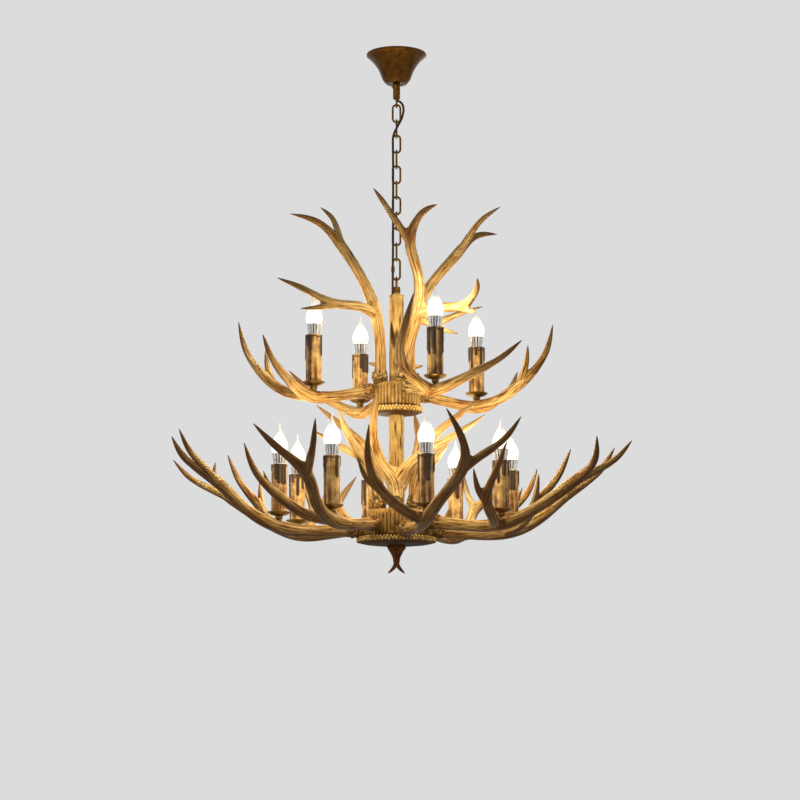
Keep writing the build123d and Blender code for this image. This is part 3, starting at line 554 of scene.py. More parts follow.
def add_skin(builder, rows, sides, vertex):
    """Rings of vertices with quads between them; vertex gives the place and how dark it is painted at an
    angle of a row.
    """
    angles = ring_angles(sides)
    rings = []
    stain = []
    for row in rows:
        made = [vertex(a, *row) for a in angles]
        rings.append([builder.verts.new(place) for place, _ in made])
        stain += [dark for _, dark in made]
    bridge(builder, rings)
    return rings, stain


def store(mesh, name, values, kind="FLOAT"):
    """Keep values per vertex as a mesh attribute."""
    made = mesh.attributes.new(name, kind, "POINT")
    made.data.foreach_set("value" if kind == "FLOAT" else "vector", np.asarray(values, np.float32).ravel())


def smooth_shading(mesh):
    mesh.polygons.foreach_set("use_smooth", np.ones(len(mesh.polygons), bool))
    mesh.update()


def built_mesh(builder, name, smooth=True, **kept):
    """Mesh of a finished builder, with values per vertex kept as attributes."""
    mesh = bpy.data.meshes.new(name)
    builder.to_mesh(mesh)
    builder.free()
    for key, values in kept.items():
        store(mesh, key, values)
    if smooth:
        smooth_shading(mesh)
    return mesh


def add_tube(builder, samples, sides=24):
    """Closed tube along samples of a line."""
    angles = ring_angles(sides)
    rings = []
    for place, radius, across, up in zip(
            samples["place"], samples["radius"], samples["across"], samples["up"]):
        rings.append([
            builder.verts.new(place + radius * (math.cos(a) * across + math.sin(a) * up)) for a in angles])
    bridge(builder, rings)
    close_ends(builder, rings)


def add_web(builder, trunk, branch):
    """Lumps in the crotch of a fork, which the remesh melts into a web."""
    start = int(np.argmin(np.linalg.norm(trunk["place"] - branch["place"][0], axis=1)))
    for step in range(3, 40, 2):
        if step >= len(branch["place"]) or start + step >= len(trunk["place"]):
            break
        a, b = branch["place"][step], trunk["place"][start + step]
        slim = min(branch["radius"][step], trunk["radius"][start + step])
        if np.linalg.norm(a - b) > WEB_REACH * slim:
            break
        middle = Matrix.Translation(Vector((a + b) / 2))
        bmesh.ops.create_icosphere(builder, subdivisions=2, radius=WEB_SIZE * slim, matrix=middle)


def remeshed(builder, name, voxel, smooth):
    """Melt overlapping closed shells into one even skin and return its mesh."""
    rough = built_mesh(builder, name + "_rough")
    holder = bpy.data.objects.new(name + "_rough", rough)
    bpy.context.scene.collection.objects.link(holder)
    melt = holder.modifiers.new("melt", "REMESH")
    melt.mode = "VOXEL"
    melt.voxel_size = voxel
    ease = holder.modifiers.new("ease", "SMOOTH")
    ease.factor = 0.5
    ease.iterations = smooth
    graph = bpy.context.evaluated_depsgraph_get()
    skin = bpy.data.meshes.new_from_object(holder.evaluated_get(graph), depsgraph=graph)
    skin.name = name
    bpy.data.objects.remove(holder)
    bpy.data.meshes.remove(rough)
    return skin


def per_vertex(mesh, what):
    """Places, "co", or normals, "normal", of a mesh's vertices."""
    values = np.empty(len(mesh.vertices) * 3)
    mesh.vertices.foreach_get(what, values)
    return values.reshape(-1, 3)


def step_up(values, low, high):
    """Smooth step of values, from 0 at low to 1 at high."""
    share = np.clip((values - low) / (high - low), 0, 1)
    return share * share * (3 - 2 * share)


def piece(name, mesh, materials, body, nodes, matrix=None):
    """Put a mesh in the scene as a piece that rides on a body and stands for CAD nodes."""
    made = bpy.data.objects.new(name, mesh)
    bpy.context.scene.collection.objects.link(made)
    if matrix is not None:
        made.matrix_world = matrix
    if not mesh.materials:
        for material in materials:
            mesh.materials.append(material)
    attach(made, body)
    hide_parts(*nodes)
    return made


# Where the antlers stand
def bearings(azimuth):
    """Outward, sideways and upward directions at an azimuth."""
    a = math.radians(azimuth)
    return Vector((math.sin(a), -math.cos(a), 0)), Vector((math.cos(a), math.sin(a), 0)), Vector((0, 0, 1))


def placed(origin, u, v, z):
    """Matrix of a casting's frame; the origin is in metres."""
    matrix = Matrix((u, v, z)).transposed().to_4x4()
    matrix.translation = origin
    return matrix


def arm_place(azimuth, foot_radius, foot_z, seat, nose_up, roll):
    """Frame of an arm casting, turned about its candle seat and pointing outward."""
    out, side, up = bearings(azimuth)
    p, r = math.radians(nose_up), math.radians(roll)
    u = out * math.cos(p) + up * math.sin(p)
    z = out * (-math.sin(p) * math.cos(r)) - side * math.sin(r) + up * (math.cos(p) * math.cos(r))
    v = z.cross(u)
    pivot = (out * (foot_radius + seat[0]) + side * seat[1] + up * seat[2]) * MM + up * foot_z
    return placed(pivot - (u * seat[0] + v * seat[1] + z * seat[2]) * MM, u, v, z)


def standing_place(azimuth, out_by, aside_by, foot_z, lean_out=0.0, lean_aside=0.0):
    """Frame of a casting stood on its foot, with its z side facing outward."""
    out, side, up = bearings(azimuth)
    u = (out * lean_out + side * lean_aside + up).normalized()
    z = (out - u * out.dot(u)).normalized()
    return placed((out * out_by + side * aside_by) * MM + up * foot_z, u, z.cross(u), z)


def arm_places(first, turns, ring_d, foot_z, seat):
    """Frames of the arms that stand evenly round a hub."""
    foot_radius = ring_d / 2 + FOOT_CLEARANCE
    return [
        arm_place(first + 360 / len(turns) * k, foot_radius, foot_z, seat, nose_up, roll)
        for k, (nose_up, roll) in enumerate(turns)]


def lower_arm_places():
    foot_z = LOWER_HUB_TOP - LOWER_FOOT_DROP * MM
    return arm_places(LOWER_ARM_FIRST, LOWER_ARM_SET, LOWER_HUB_RING_D, foot_z, LARGE_SEAT)


def upper_arm_places():
    foot_z = UPPER_HUB_TOP - UPPER_FOOT_DROP * MM
    return arm_places(UPPER_ARM_FIRST, UPPER_ARM_SET, UPPER_HUB_RING_D, foot_z, SMALL_SEAT)


def crown_places():
    foot_z = UPPER_HUB_TOP + FOOT_RISE * MM
    return [
        standing_place(azimuth, CROWN_FOOT_OUT, CROWN_FOOT_ASIDE, foot_z, lean_out, lean_aside)
        for azimuth, lean_out, lean_aside in CROWN_SET]


def spray_places():
    foot_z = LOWER_HUB_TOP + FOOT_RISE * MM
    return [standing_place(360 / SPRAY_COUNT * k, SPRAY_FOOT_OUT, 0, foot_z) for k in range(SPRAY_COUNT)]


# Antlers
def nearest_beam(places, beams):
    """For every place, the beam and sample whose skin is closest."""
    centre = np.vstack([b["place"] for b in beams])
    radius = np.concatenate([b["radius"] for b in beams])
    owner = np.concatenate([np.full(len(b["stop"]), k) for k, b in enumerate(beams)])
    index = np.concatenate([np.arange(len(b["stop"])) for b in beams])
    found = np.empty(len(places), int)
    batch = 2000
    for start in range(0, len(places), batch):
        part = places[start:start + batch]
        gap = np.linalg.norm(part[:, None, :] - centre[None, :, :], axis=2) - radius[None, :]
        found[start:start + batch] = gap.argmin(axis=1)
    return owner[found], index[found]


def casting_skin(name, beams):
    """Beams, the webs of their forks and the burr at the foot, melted into one skin."""
    builder = bmesh.new()
    for samples in beams:
        add_tube(builder, samples)
    for k, samples in enumerate(beams[1:], 1):
        reach = [np.linalg.norm(c["place"] - samples["place"][0], axis=1).min() for c in beams[:k]]
        add_web(builder, beams[int(np.argmin(reach))], samples)
    middle = Matrix.Translation(((BURR_START + BURR_END) / 2, 0, 0))
    bmesh.ops.create_cone(
        builder, cap_ends=True, segments=28, radius1=BURR_R, radius2=BURR_R - BURR_TAPER,
        depth=BURR_END - BURR_START, matrix=middle @ Matrix.Rotation(math.pi / 2, 4, "Y"))
    return remeshed(builder, name, ANTLER_VOXEL, ANTLER_EASE)


def groove_noise(turn, stop, shift, turns, length):
    """Noise that is drawn out along the beams."""
    return np.array([
        noise.noise((turns * c, turns * s, z / length + d)) for (c, s), z, d in zip(turn, stop, shift)])


def casting_mesh(name, trunk, trunk_radii, branches, seat=None, size=1.0):
    """One antler casting in its own frame, in metres: webbed forks, grooves, burr and paint guides."""
    beams = [
        beam_samples([tuple(size * c for c in p) for p in points], [size * r for r in radii])
        for points, radii in [(trunk, trunk_radii), *branches]]
    mesh = casting_skin(name, beams)

    places, normals = per_vertex(mesh, "co"), per_vertex(mesh, "normal")
    owner, index = nearest_beam(places, beams)
    angle, stop, share, width, girth = (np.empty(len(places)) for _ in range(5))
    for k, samples in enumerate(beams):
        mine = owner == k
        at = index[mine]
        off = places[mine] - samples["place"][at]
        angle[mine] = np.arctan2((off * samples["up"][at]).sum(1), (off * samples["across"][at]).sum(1))
        stop[mine] = samples["stop"][at] + (off * samples["along"][at]).sum(1)
        share[mine] = stop[mine] / samples["stop"][-1]
        width[mine] = samples["radius"][at]
        girth[mine] = np.clip(samples["radius"][0] / 12.0, 0.5, 1.3)
    turn = np.stack([np.cos(angle), np.sin(angle)], axis=1)
    shift = owner * BEAM_SHIFT

    relief = 0.6 * groove_noise(turn, stop, shift, 2.1, 52) + 0.6 * groove_noise(turn, stop, shift, 5.2, 30)
    calm = 1 - step_up(share, 0.35, 0.95)
    depth = GROOVE_DEPTH * (0.25 + 0.75 * calm) * np.clip(width / 12.0, 0.3, 1.2)
    lift = relief * depth * (1 - step_up(share, 0.88, 0.98))
    foot = (owner == 0) * (1 - step_up(stop, BURR_END, BURR_END + 8)) * step_up(places[:, 0], 1.0, 4.0)
    pearls = np.array([noise.noise(Vector(p) / PEARL_SIZE) if f > 0 else 0.0 for p, f in zip(places, foot)])
    lift += foot * (PEARL_DEPTH * pearls + 0.6)
    places = places + normals * lift[:, None]
    places[:, 0] = np.maximum(places[:, 0], 0.05)
    if seat is not None:
        near = np.hypot(places[:, 0] - seat[0], places[:, 1] - seat[1]) < SEAT_FLAT_R
        places[near, 2] = np.minimum(places[near, 2], seat[2] + SEAT_RISE - 0.3)
    mesh.vertices.foreach_set("co", (places * MM).ravel())

    sunk = -1.2 * relief * (0.4 + 0.6 * calm) + 3.0 * foot * np.clip(0.12 - pearls, 0, 1)
    store(mesh, "groove", np.clip(sunk, 0, 1))
    store(mesh, "tip", share)
    guide = np.stack([turn[:, 0] * girth, turn[:, 1] * girth, stop / GRAIN_LENGTH + shift], axis=1)
    store(mesh, "grain", guide, "FLOAT_VECTOR")
    smooth_shading(mesh)
    return mesh


def stand_antler(name, casting, node, matrix, paint_set, material):
    """Own copy of a casting at its place, with its own grain, and with painted light and painted shade by
    how it faces the bulbs.
    """
    pale, painted_facing_light, shade = paint_set
    own = casting.copy()
    own.transform(matrix)
    paint_guide = own.attributes["grain"].data
    guide = np.empty(len(paint_guide) * 3, np.float32)
    paint_guide.foreach_get("vector", guide)
    guide[2::3] += 0.37 * sum(map(ord, name))
    paint_guide.foreach_set("vector", guide)
    facing = per_vertex(own, "normal")
    inward = -per_vertex(own, "co") * np.array([1.0, 1.0, 0.0])
    inward /= np.linalg.norm(inward, axis=1)[:, None]
    # how much each face turns towards the bulbs at the axis and upwards; it drives the painted light and the
    # painted shade
    lit = 0.5 + 0.5 * (0.55 * (facing * inward).sum(1) + 0.45 * facing[:, 2])
    store(own, "painted_light", pale + painted_facing_light * (lit - 0.5))
    store(own, "shade", shade * (1 - step_up(lit, 0.25, 0.62)))
    made = piece(name, own, [material], "fixture", [node])
    made.cycles.shadow_terminator_geometry_offset = 0.3
    made.cycles.shadow_terminator_offset = 0.2


def build_antlers(material):
    large = casting_mesh("large_casting", LARGE_TRUNK, LARGE_TRUNK_R, LARGE_BRANCHES, LARGE_SEAT)
    small = casting_mesh("small_casting", SMALL_TRUNK, SMALL_TRUNK_R, SMALL_BRANCHES, SMALL_SEAT)
    crown = casting_mesh("crown_casting", LARGE_TRUNK, LARGE_TRUNK_R, LARGE_BRANCHES, None, CROWN_SIZE)
    spray = casting_mesh("spray_casting", SPRAY_TRUNK, SPRAY_TRUNK_R, SPRAY_BRANCHES)
    tiers = [
        ("lower_arm", large, lower_arm_places(), LOWER_PAINT),
        ("upper_arm", small, upper_arm_places(), UPPER_PAINT),
        ("crown_antler", crown, crown_places(), CROWN_PAINT),
    ]
    for tier, casting, places, paint_set in tiers:
        for k, place in enumerate(places, 1):
            stand_antler(f"{tier}_{k}_antler", casting, f"{tier}_{k}", place, paint_set, material)
    for k, place in enumerate(spray_places(), 1):
        stand_antler(f"spray_antler_{k}", spray, "spray_antlers", place, SPRAY_PAINT, material)


# Candle lamps
def turned_mesh(name, profile, segments, closed=False):
    """Surface of revolution about Z from (radius, height) points in millimetres."""
    builder = bmesh.new()
    rings = []
    for radius, height in profile:
        if radius < 1e-6:
            rings.append([builder.verts.new((0, 0, height * MM))])
        else:
            rings.append([
                builder.verts.new(around(radius * MM, a, height * MM)) for a in ring_angles(segments)])
    pairs = list(zip(rings, rings[1:]))
    if closed:
        pairs.append((rings[-1], rings[0]))
    for low, high in pairs:
        for k in range(segments):
            j = (k + 1) % segments
            if len(low) == 1:
                builder.faces.new((low[0], high[j], high[k]))
            elif len(high) == 1:
                builder.faces.new((low[k], low[j], high[0]))
            else:
                builder.faces.new((low[k], low[j], high[j], high[k]))
    bmesh.ops.recalc_face_normals(builder, faces=builder.faces)
    return built_mesh(builder, name)


def curve_profile(points, step):
    """Smooth (radius, height) profile through points."""
    places, _, _, _ = smooth_line([(r, 0, z) for r, z in points], step)
    return [(max(r, 0.0), z) for r, _, z in places]


def drip_shape(a, below, drips):
    """Swell of the wax runs at an angle and a depth below the rim, and the stain along their edges."""
    swell = edge = 0.0
    for centre, length, width in drips:
        off = abs((a - centre + math.pi) % FULL_TURN - math.pi) * SLEEVE_D / 2
        end = max(0.0, below - length + width)
        reach = math.hypot(off, end) if below > length - width else off
        swell = max(swell, 1.9 * math.exp(-(reach / width) ** 2))
        edge = max(edge, math.exp(-((reach - 1.4 * width) / 1.7) ** 2) * (below < length + 5))
        edge = max(edge, 0.95 * math.exp(-(reach / (1.4 * width)) ** 4))
    return swell, edge


def candle_mesh(seed):
    """Candle tube with a lumpy rim and wax runs of different lengths."""
    rows, columns = 92, 120
    outer, bore = SLEEVE_D / 2, SLEEVE_BORE / 2
    draws = np.random.RandomState(seed)
    drips = [
        (draws.uniform(0, FULL_TURN), draws.uniform(10, 62), draws.uniform(1.5, 2.9))
        for _ in range(DRIP_COUNT)]

    def vertex(a, height, inner_r=None):
        if inner_r is not None:
            return around(inner_r * MM, a, height * MM), 0.3
        below = SLEEVE_LENGTH - height
        swell, edge = drip_shape(a, below, drips)
        rim = 1.5 * math.exp(-(below / 4.0) ** 2)
        scallop = 5.0 + 3.5 * noise.noise(around(2.6, a, seed + 0.4))
        edge = max(edge, math.exp(-((below - scallop) / 1.6) ** 2))
        wobble = 0.35 * noise.noise(around(3, a, height / 30 + seed))
        radius = outer - 0.5 + wobble + max(swell, rim)
        return around(radius * MM, a, height * MM), min(1.0, 1.25 * edge)

    levels = [(height,) for height in np.linspace(0, SLEEVE_LENGTH, rows)]
    levels += [(SLEEVE_LENGTH, outer - 1.5), (SLEEVE_LENGTH - 1, bore), (SLEEVE_LENGTH - 30, bore)]
    builder = bmesh.new()
    rings, stain = add_skin(builder, levels, columns, vertex)
    builder.faces.new(reversed(rings[0]))
    return built_mesh(builder, f"candle_{seed}", groove=stain)


def bulb_mesh(materials):
    """Flame bulb over a finned collar, with its white ring, painted shade in the slots between the fins and
    a screw cap, from the collar's foot upwards.
    """
    glass, fins, white, gap = range(len(materials))
    profile = curve_profile([
        (BULB_COLLAR_TOP_D / 2 - 1.5, 0), (BULB_D / 2 - 0.6, 9), (BULB_D / 2 - 0.4, 18), (BULB_D * 0.34, 33),
        (BULB_D * 0.14, 47), (1.9, 55), (1.1, BULB_GLASS_HEIGHT - 1),
    ], 1.5)
    profile.append((0.0, BULB_GLASS_HEIGHT))
    top = turned_mesh("bulb_glass_part", [(r, z + BULB_COLLAR_HEIGHT) for r, z in profile], 40)
    builder = bmesh.new()
    builder.from_mesh(top)
    bpy.data.meshes.remove(top)
    for face in builder.faces:
        face.material_index = glass

    steps = BULB_FIN_COUNT * BULB_FIN_STEPS
    rows = [
        (0.0, 0.0), (1.6, 0.0), (2.0, 1.0), (BULB_COLLAR_HEIGHT - 2.4, 1.0), (BULB_COLLAR_HEIGHT - 1.8, 0.0),
        (BULB_COLLAR_HEIGHT, 0.0),
    ]
    fin_row = 2
    flare = (BULB_COLLAR_TOP_D - BULB_COLLAR_FOOT_D) / 2
    rings = []
    for height, finned in rows:
        base = BULB_COLLAR_FOOT_D / 2 + flare * height / BULB_COLLAR_HEIGHT
        ring = []
        for k, a in enumerate(ring_angles(steps)):
            sunk = BULB_FIN_DEPTH * finned * (k % BULB_FIN_STEPS >= BULB_FIN_GAP_FROM)
            ring.append(builder.verts.new(around((base - sunk) * MM, a, height * MM)))
        rings.append(ring)
    for row, (low, high) in enumerate(zip(rings, rings[1:])):
        for k in range(steps):
            j = (k + 1) % steps
            face = builder.faces.new((low[k], low[j], high[j], high[k]))
            # the slots between the fins get a dark metal as painted shade
            in_gap = BULB_FIN_GAP_FROM <= k % BULB_FIN_STEPS < BULB_FIN_STEPS - 1
            face.material_index = white if row == 0 else gap if row == fin_row and in_gap else fins
    builder.faces.new(reversed(rings[0])).material_index = white
    cap = bmesh.ops.create_cone(
        builder, cap_ends=True, segments=28, radius1=BULB_CAP_D / 2 * MM, radius2=BULB_CAP_D / 2 * MM,
        depth=BULB_CAP_LENGTH * MM, matrix=Matrix.Translation((0, 0, BULB_CAP_MIDDLE * MM)))
    for face in {f for v in cap["verts"] for f in v.link_faces}:
        face.material_index = fins
    mesh = built_mesh(builder, "bulb", smooth=False)
    for material in materials:
        mesh.materials.append(material)
    height = per_vertex(mesh, "co")[:, 2] / MM - BULB_COLLAR_HEIGHT
    store(mesh, "lit", 1 - step_up(height, 32, 50))
    return mesh


def cup_mesh():
    """Dished drip cup on a turned stem, with a hole for the lamp's tube."""
    stem, lip, seat, rim = CUP_STEM_D / 2, CUP_D / 2, CUP_STEM_HEIGHT, CUP_STEM_HEIGHT + CUP_HEIGHT
    return turned_mesh("drip_cup", [
        (CUP_HOLE_R, 0), (stem - 0.5, 0), (stem, 0.8), (stem - 0.6, 2.4), (stem - 2.2, 3.4), (stem - 2.4, 5),
        (stem - 0.4, 7.0), (stem + 0.4, 9.0), (stem - 0.6, 11.2), (stem + 1, seat - 2), (SLEEVE_D / 2, seat),
        (lip - 3, rim - 4), (lip - 0.6, rim - 2), (lip, rim - 0.9), (lip - 0.5, rim), (lip - 1.6, rim - 0.2),
        (lip - 4.5, rim - 3), (SLEEVE_D / 2 + 1, seat + CUP_WALL), (CUP_HOLE_R, seat + CUP_WALL),
    ], 56, closed=True)


def build_lamps(candle, cup_metal, bulb_materials):
    candles = [candle_mesh(seed) for seed in range(CANDLE_KINDS)]
    cup = cup_mesh()
    bulb = bulb_mesh(bulb_materials)
    for k in range(LAMP_COUNT):
        tag = f"{k + 1:02d}"
        node = f"bulb_{tag}"
        low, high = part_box(node)
        axis = Vector(((low[0] + high[0]) / 2, (low[1] + high[1]) / 2, high[2] - LAMP_HEIGHT * MM))
        turn = Matrix.Rotation(1.7 * k, 4, "Z")
        foot = axis + Vector((0, 0, (CUP_STEM_HEIGHT + CUP_WALL) * MM))
        collar = foot + Vector((0, 0, (SLEEVE_LENGTH + BULB_GAP) * MM))
        piece(f"drip_cup_{tag}", cup, [cup_metal], "fixture", ["drip_cups"],
              Matrix.Translation(axis) @ turn)
        piece(f"candle_sleeve_{tag}", candles[k % CANDLE_KINDS], [candle], "fixture",
              ["candle_sleeves"], Matrix.Translation(foot) @ turn)
        piece(f"flame_bulb_{tag}", bulb, bulb_materials, node, [node],
              Matrix.Translation(collar) @ turn)


# Hubs, columns and tail piece
def hub_rows(barrel_r, ring_r, height):
    """Radii and heights of the rows of a hub's skin, from the middle of its underside to that of its top."""
    ring_in = ring_r - HUB_BEAD_D / 2
    rim_top = HUB_RING_RISE + HUB_RING_THICKNESS
    shape = [
        (ring_r * 0.05, 0), (ring_r * 0.45, 0), (ring_r * 0.80, HUB_RING_RISE * 0.35),
        (ring_in, HUB_RING_RISE), (ring_in, rim_top), (barrel_r, rim_top + 3),
        (barrel_r, height - HUB_SHOULDER),
        (barrel_r - HUB_SHOULDER * 0.4, height - HUB_SHOULDER * 0.3), (barrel_r - HUB_SHOULDER, height),
        (barrel_r * 0.3, height),
    ]
    lengths = np.concatenate([[0.0], np.cumsum([math.dist(a, b) for a, b in zip(shape, shape[1:])])])
    stops = np.linspace(0, lengths[-1], int(lengths[-1] / HUB_ROW))
    return (np.interp(stops, lengths, values) for values in zip(*shape))


def add_drum(builder, barrel_r, ring_r, bottom, height, ribs):
    """Ribbed skin of a hub; returns how dark its vertices are painted: stain in the rib hollows, painted
    shade on the underside and behind the bead ring.
    """
    rim_top = HUB_RING_RISE + HUB_RING_THICKNESS
    radii, levels = hub_rows(barrel_r, ring_r, height)
    ribbed = step_up(levels, rim_top + 1, rim_top + 6)
    ribbed *= 1 - step_up(levels, height - HUB_SHOULDER, height - 2)
    # painted shade on the hub's underside and on the drum behind the bead ring
    underside_shade = 1 - step_up(levels, HUB_RING_RISE * 0.4, HUB_RING_RISE)
    behind = step_up(levels, HUB_RING_RISE - 2, HUB_RING_RISE)
    behind *= 1 - step_up(levels, rim_top + 2, rim_top + 7)

    def vertex(a, radius, level, ribbed, painted_shade):
        wave = 0.5 + 0.5 * math.cos(a * ribs)
        rough = noise.noise((radius * math.cos(a) / 6, radius * math.sin(a) / 6, level / 9))
        lift = ribbed * (2.1 * wave ** 0.7 - 0.9) + 0.55 * rough
        hollow = max(ribbed * (1 - wave) ** 1.6 * (0.62 + 0.5 * rough), painted_shade)
        return around((radius + lift) * MM, a, bottom + level * MM), hollow + 0.6 * max(0.0, -rough)

    rows = zip(radii, levels, ribbed, np.maximum(underside_shade, behind))
    rings, stain = add_skin(builder, rows, ribs * HUB_RIB_STEPS, vertex)
    close_ends(builder, rings)
    return stain


def add_beads(builder, ring_r, bottom, seed):
    """Two rows of uneven beads round a hub's rim; returns the painted shade at their bases and the painted
    highlight on their tops.
    """
    bead_r = HUB_BEAD_D / 2
    bead_line = ring_r - bead_r - HUB_BEAD_SINK
    count = int(math.pi * 2 * ring_r / HUB_BEAD_D * HUB_BEAD_PACKING)
    draws = np.random.RandomState(seed)
    stain = []
    gilt = []
    for row, level in enumerate((HUB_RING_RISE + 1.0, HUB_RING_RISE + HUB_RING_THICKNESS * 0.75)):
        for k in range(count):
            size = bead_r * draws.uniform(0.72, 1.0)
            z = bottom + (level + draws.uniform(-0.8, 0.8)) * MM
            place = Matrix.Translation(around(bead_line * MM, FULL_TURN * (k + 0.5 * row) / count, z))
            made = bmesh.ops.create_icosphere(builder, subdivisions=2, radius=size * MM, matrix=place)
            for vert in made["verts"]:
                depth = (math.hypot(vert.co.x, vert.co.y) / MM - bead_line) / size
                # painted shade where a bead sinks into the ring, painted highlight on its outer top
                stain.append(1.0 - step_up(depth, 0.15, 0.75))
                gilt.append(0.85 * step_up(depth, 0.35, 0.85))
    return stain, gilt


def add_boss(builder, foot, number):
    """Rough boss behind an antler's foot; returns the stain of its vertices."""
    steps, sides = 14, 36

    def vertex(a, i):
        u = -BOSS_DEPTH + BOSS_DEPTH * i / steps
        flare = BOSS_D / 2 * (0.92 + 0.10 * (i / steps) ** 2)
        rough = noise.noise((flare * math.cos(a) / 4, flare * math.sin(a) / 4, u / 5 + number * 3.1))
        reach = (flare + BOSS_ROUGHNESS * rough) * MM
        place = foot @ Vector((u * MM, reach * math.cos(a), reach * math.sin(a)))
        return place, 0.35 + 0.9 * max(0.0, -rough) + 0.3 * (i == steps)

    rings, stain = add_skin(builder, [(i,) for i in range(steps + 1)], sides, vertex)
    builder.faces.new(rings[-1])
    return stain


def hub_mesh(name, barrel_d, ring_d, bottom, top, ribs, feet):
    """Ribbed drum with a beaded rim and rough bosses, stained dark in its hollows, with painted shade on its
    underside, behind the bead ring and at the beads' bases, and painted highlights on the beads' tops.
    """
    builder = bmesh.new()
    stain = add_drum(builder, barrel_d / 2, ring_d / 2, bottom, (top - bottom) / MM, ribs)
    bead_shade, bead_gilt = add_beads(builder, ring_d / 2, bottom, ribs)
    gilt = [0.0] * len(stain) + bead_gilt
    stain += bead_shade
    for number, foot in enumerate(feet):
        stain += add_boss(builder, foot, number)
    gilt += [0.0] * (len(stain) - len(gilt))
    # the groove attribute holds the stain and the painted shade together
    return built_mesh(builder, name, groove=np.clip(stain, 0, 1), gilt=gilt)


def column_mesh(name, bottom, top, seed):
    """Column cast from a straight antler beam: lengthwise grooves that wander."""
    height = (top - bottom) / MM

    def vertex(a, level):
        relief = 0.55 * noise.noise(around(2.3, a, level / 60 + seed))
        relief += 0.65 * noise.noise(around(6.0, a, level / 34 + seed))
        place = around((COLUMN_D / 2 - 0.6 + relief) * MM, a, bottom + level * MM)
        return place, min(1.0, max(0.0, -1.7 * relief))

    builder = bmesh.new()
    levels = np.linspace(0, height, int(height / COLUMN_ROW))[:, None]
    rings, stain = add_skin(builder, levels, COLUMN_SIDES, vertex)
    close_ends(builder, rings)
    return built_mesh(builder, name, groove=stain)


def finial_mesh(top):
    """Knobbed tail piece that ends in two short spread tips."""
    neck = -FINIAL_HEIGHT + FINIAL_TAIL_LENGTH
    head_r, waist_r, tail_r = FINIAL_TOP_D / 2, FINIAL_WAIST_D / 2, FINIAL_TAIL_D / 2
    profile = curve_profile([
        (head_r - 3, -0.2), (head_r - 0.6, -FINIAL_CAP_HEIGHT * 0.5), (head_r - 4, -FINIAL_CAP_HEIGHT),
        (waist_r + 6, -FINIAL_CAP_HEIGHT - 7), (waist_r + 1.5, neck / 2 - 8), (waist_r, neck),
    ], 2.0)
    body = turned_mesh("finial_body", [(0, -0.2), *profile, (0, neck)], 40)
    builder = bmesh.new()
    builder.from_mesh(body)
    bpy.data.meshes.remove(body)
    for vert in builder.verts:
        vert.co /= MM
    for side in (-1, 1):
        route = [(0, 0, neck + 4), (side * 2.5, 0, neck - 6), (side * FINIAL_TAIL_SPREAD, 0, -FINIAL_HEIGHT)]
        add_tube(builder, beam_samples(route, [tail_r + 1.5, tail_r, 1.6]), 18)
    mesh = remeshed(builder, "finial", 0.9, 3)
    places, normals = per_vertex(mesh, "co"), per_vertex(mesh, "normal")
    angle = np.arctan2(places[:, 1], places[:, 0])
    knobs = np.array([noise.noise(Vector(p) / 4.0) for p in places])
    lines = np.array([noise.noise(around(4, a, z / 25)) for a, z in zip(angle, places[:, 2])])
    head = 1 - step_up(-places[:, 2], FINIAL_CAP_HEIGHT, FINIAL_CAP_HEIGHT + 12)
    lift = 1.5 * head * knobs + 0.5 * (1 - head) * lines - 0.6 * head
    lift *= step_up(-places[:, 2], 0.2, 2.0)
    places = places + normals * lift[:, None]
    places[:, 2] = np.minimum(places[:, 2], -0.1)
    mesh.vertices.foreach_set("co", (places * MM + np.array([0, 0, top])).ravel())
    store(mesh, "groove", np.clip(-1.4 * (head * knobs + (1 - head) * lines), 0, 1))
    smooth_shading(mesh)
    return mesh


def build_core(resin, rim_resin, column_resin, dark_resin):
    lower_feet = lower_arm_places() + spray_places()
    upper_feet = upper_arm_places() + crown_places()
    lower = hub_mesh("lower_hub", LOWER_HUB_BARREL_D, LOWER_HUB_RING_D, LOWER_HUB_BOTTOM, LOWER_HUB_TOP,
                     LOWER_HUB_RIBS, lower_feet)
    upper = hub_mesh("upper_hub", UPPER_HUB_BARREL_D, UPPER_HUB_RING_D, UPPER_HUB_BOTTOM, UPPER_HUB_TOP,
                     UPPER_HUB_RIBS, upper_feet)
    piece("lower_hub_drum", lower, [rim_resin], "fixture", ["hub_lower"])
    piece("upper_hub_drum", upper, [resin], "fixture", ["hub_upper"])
    piece("lower_column", column_mesh("lower_column", LOWER_HUB_TOP, UPPER_HUB_BOTTOM, 3.1), [column_resin],
          "fixture", ["column_lower"])
    piece("upper_column", column_mesh("upper_column", UPPER_HUB_TOP, COLUMN_TOP, 8.4), [column_resin],
          "fixture", ["column_upper"])
    piece("tail_finial", finial_mesh(LOWER_HUB_BOTTOM), [dark_resin], "fixture", ["finial"])


# Canopy, chain and cord
def canopy_mesh():
    """Spun bell with a rolled rim."""
    rim = CANOPY_RIM_D / 2
    hole = TUBE_D / 2 + TUBE_GAP
    outer = [(rim * across, -CANOPY_HEIGHT * down) for across, down in CANOPY_OUTLINE]
    outer = curve_profile([*outer, (CANOPY_FLAT_D / 2, -CANOPY_HEIGHT)], 1.5)
    inner = [(max(r - CANOPY_WALL, hole), z + CANOPY_WALL) for r, z in reversed(outer)]
    profile = [(rim - CANOPY_WALL, -0.3), (rim - 0.5, -0.1), (rim, -0.8), *outer]
    profile += [(hole + 1, -CANOPY_HEIGHT), (hole, -CANOPY_HEIGHT + CANOPY_WALL), *inner]
    return turned_mesh("canopy_bell", profile, 128, closed=True)


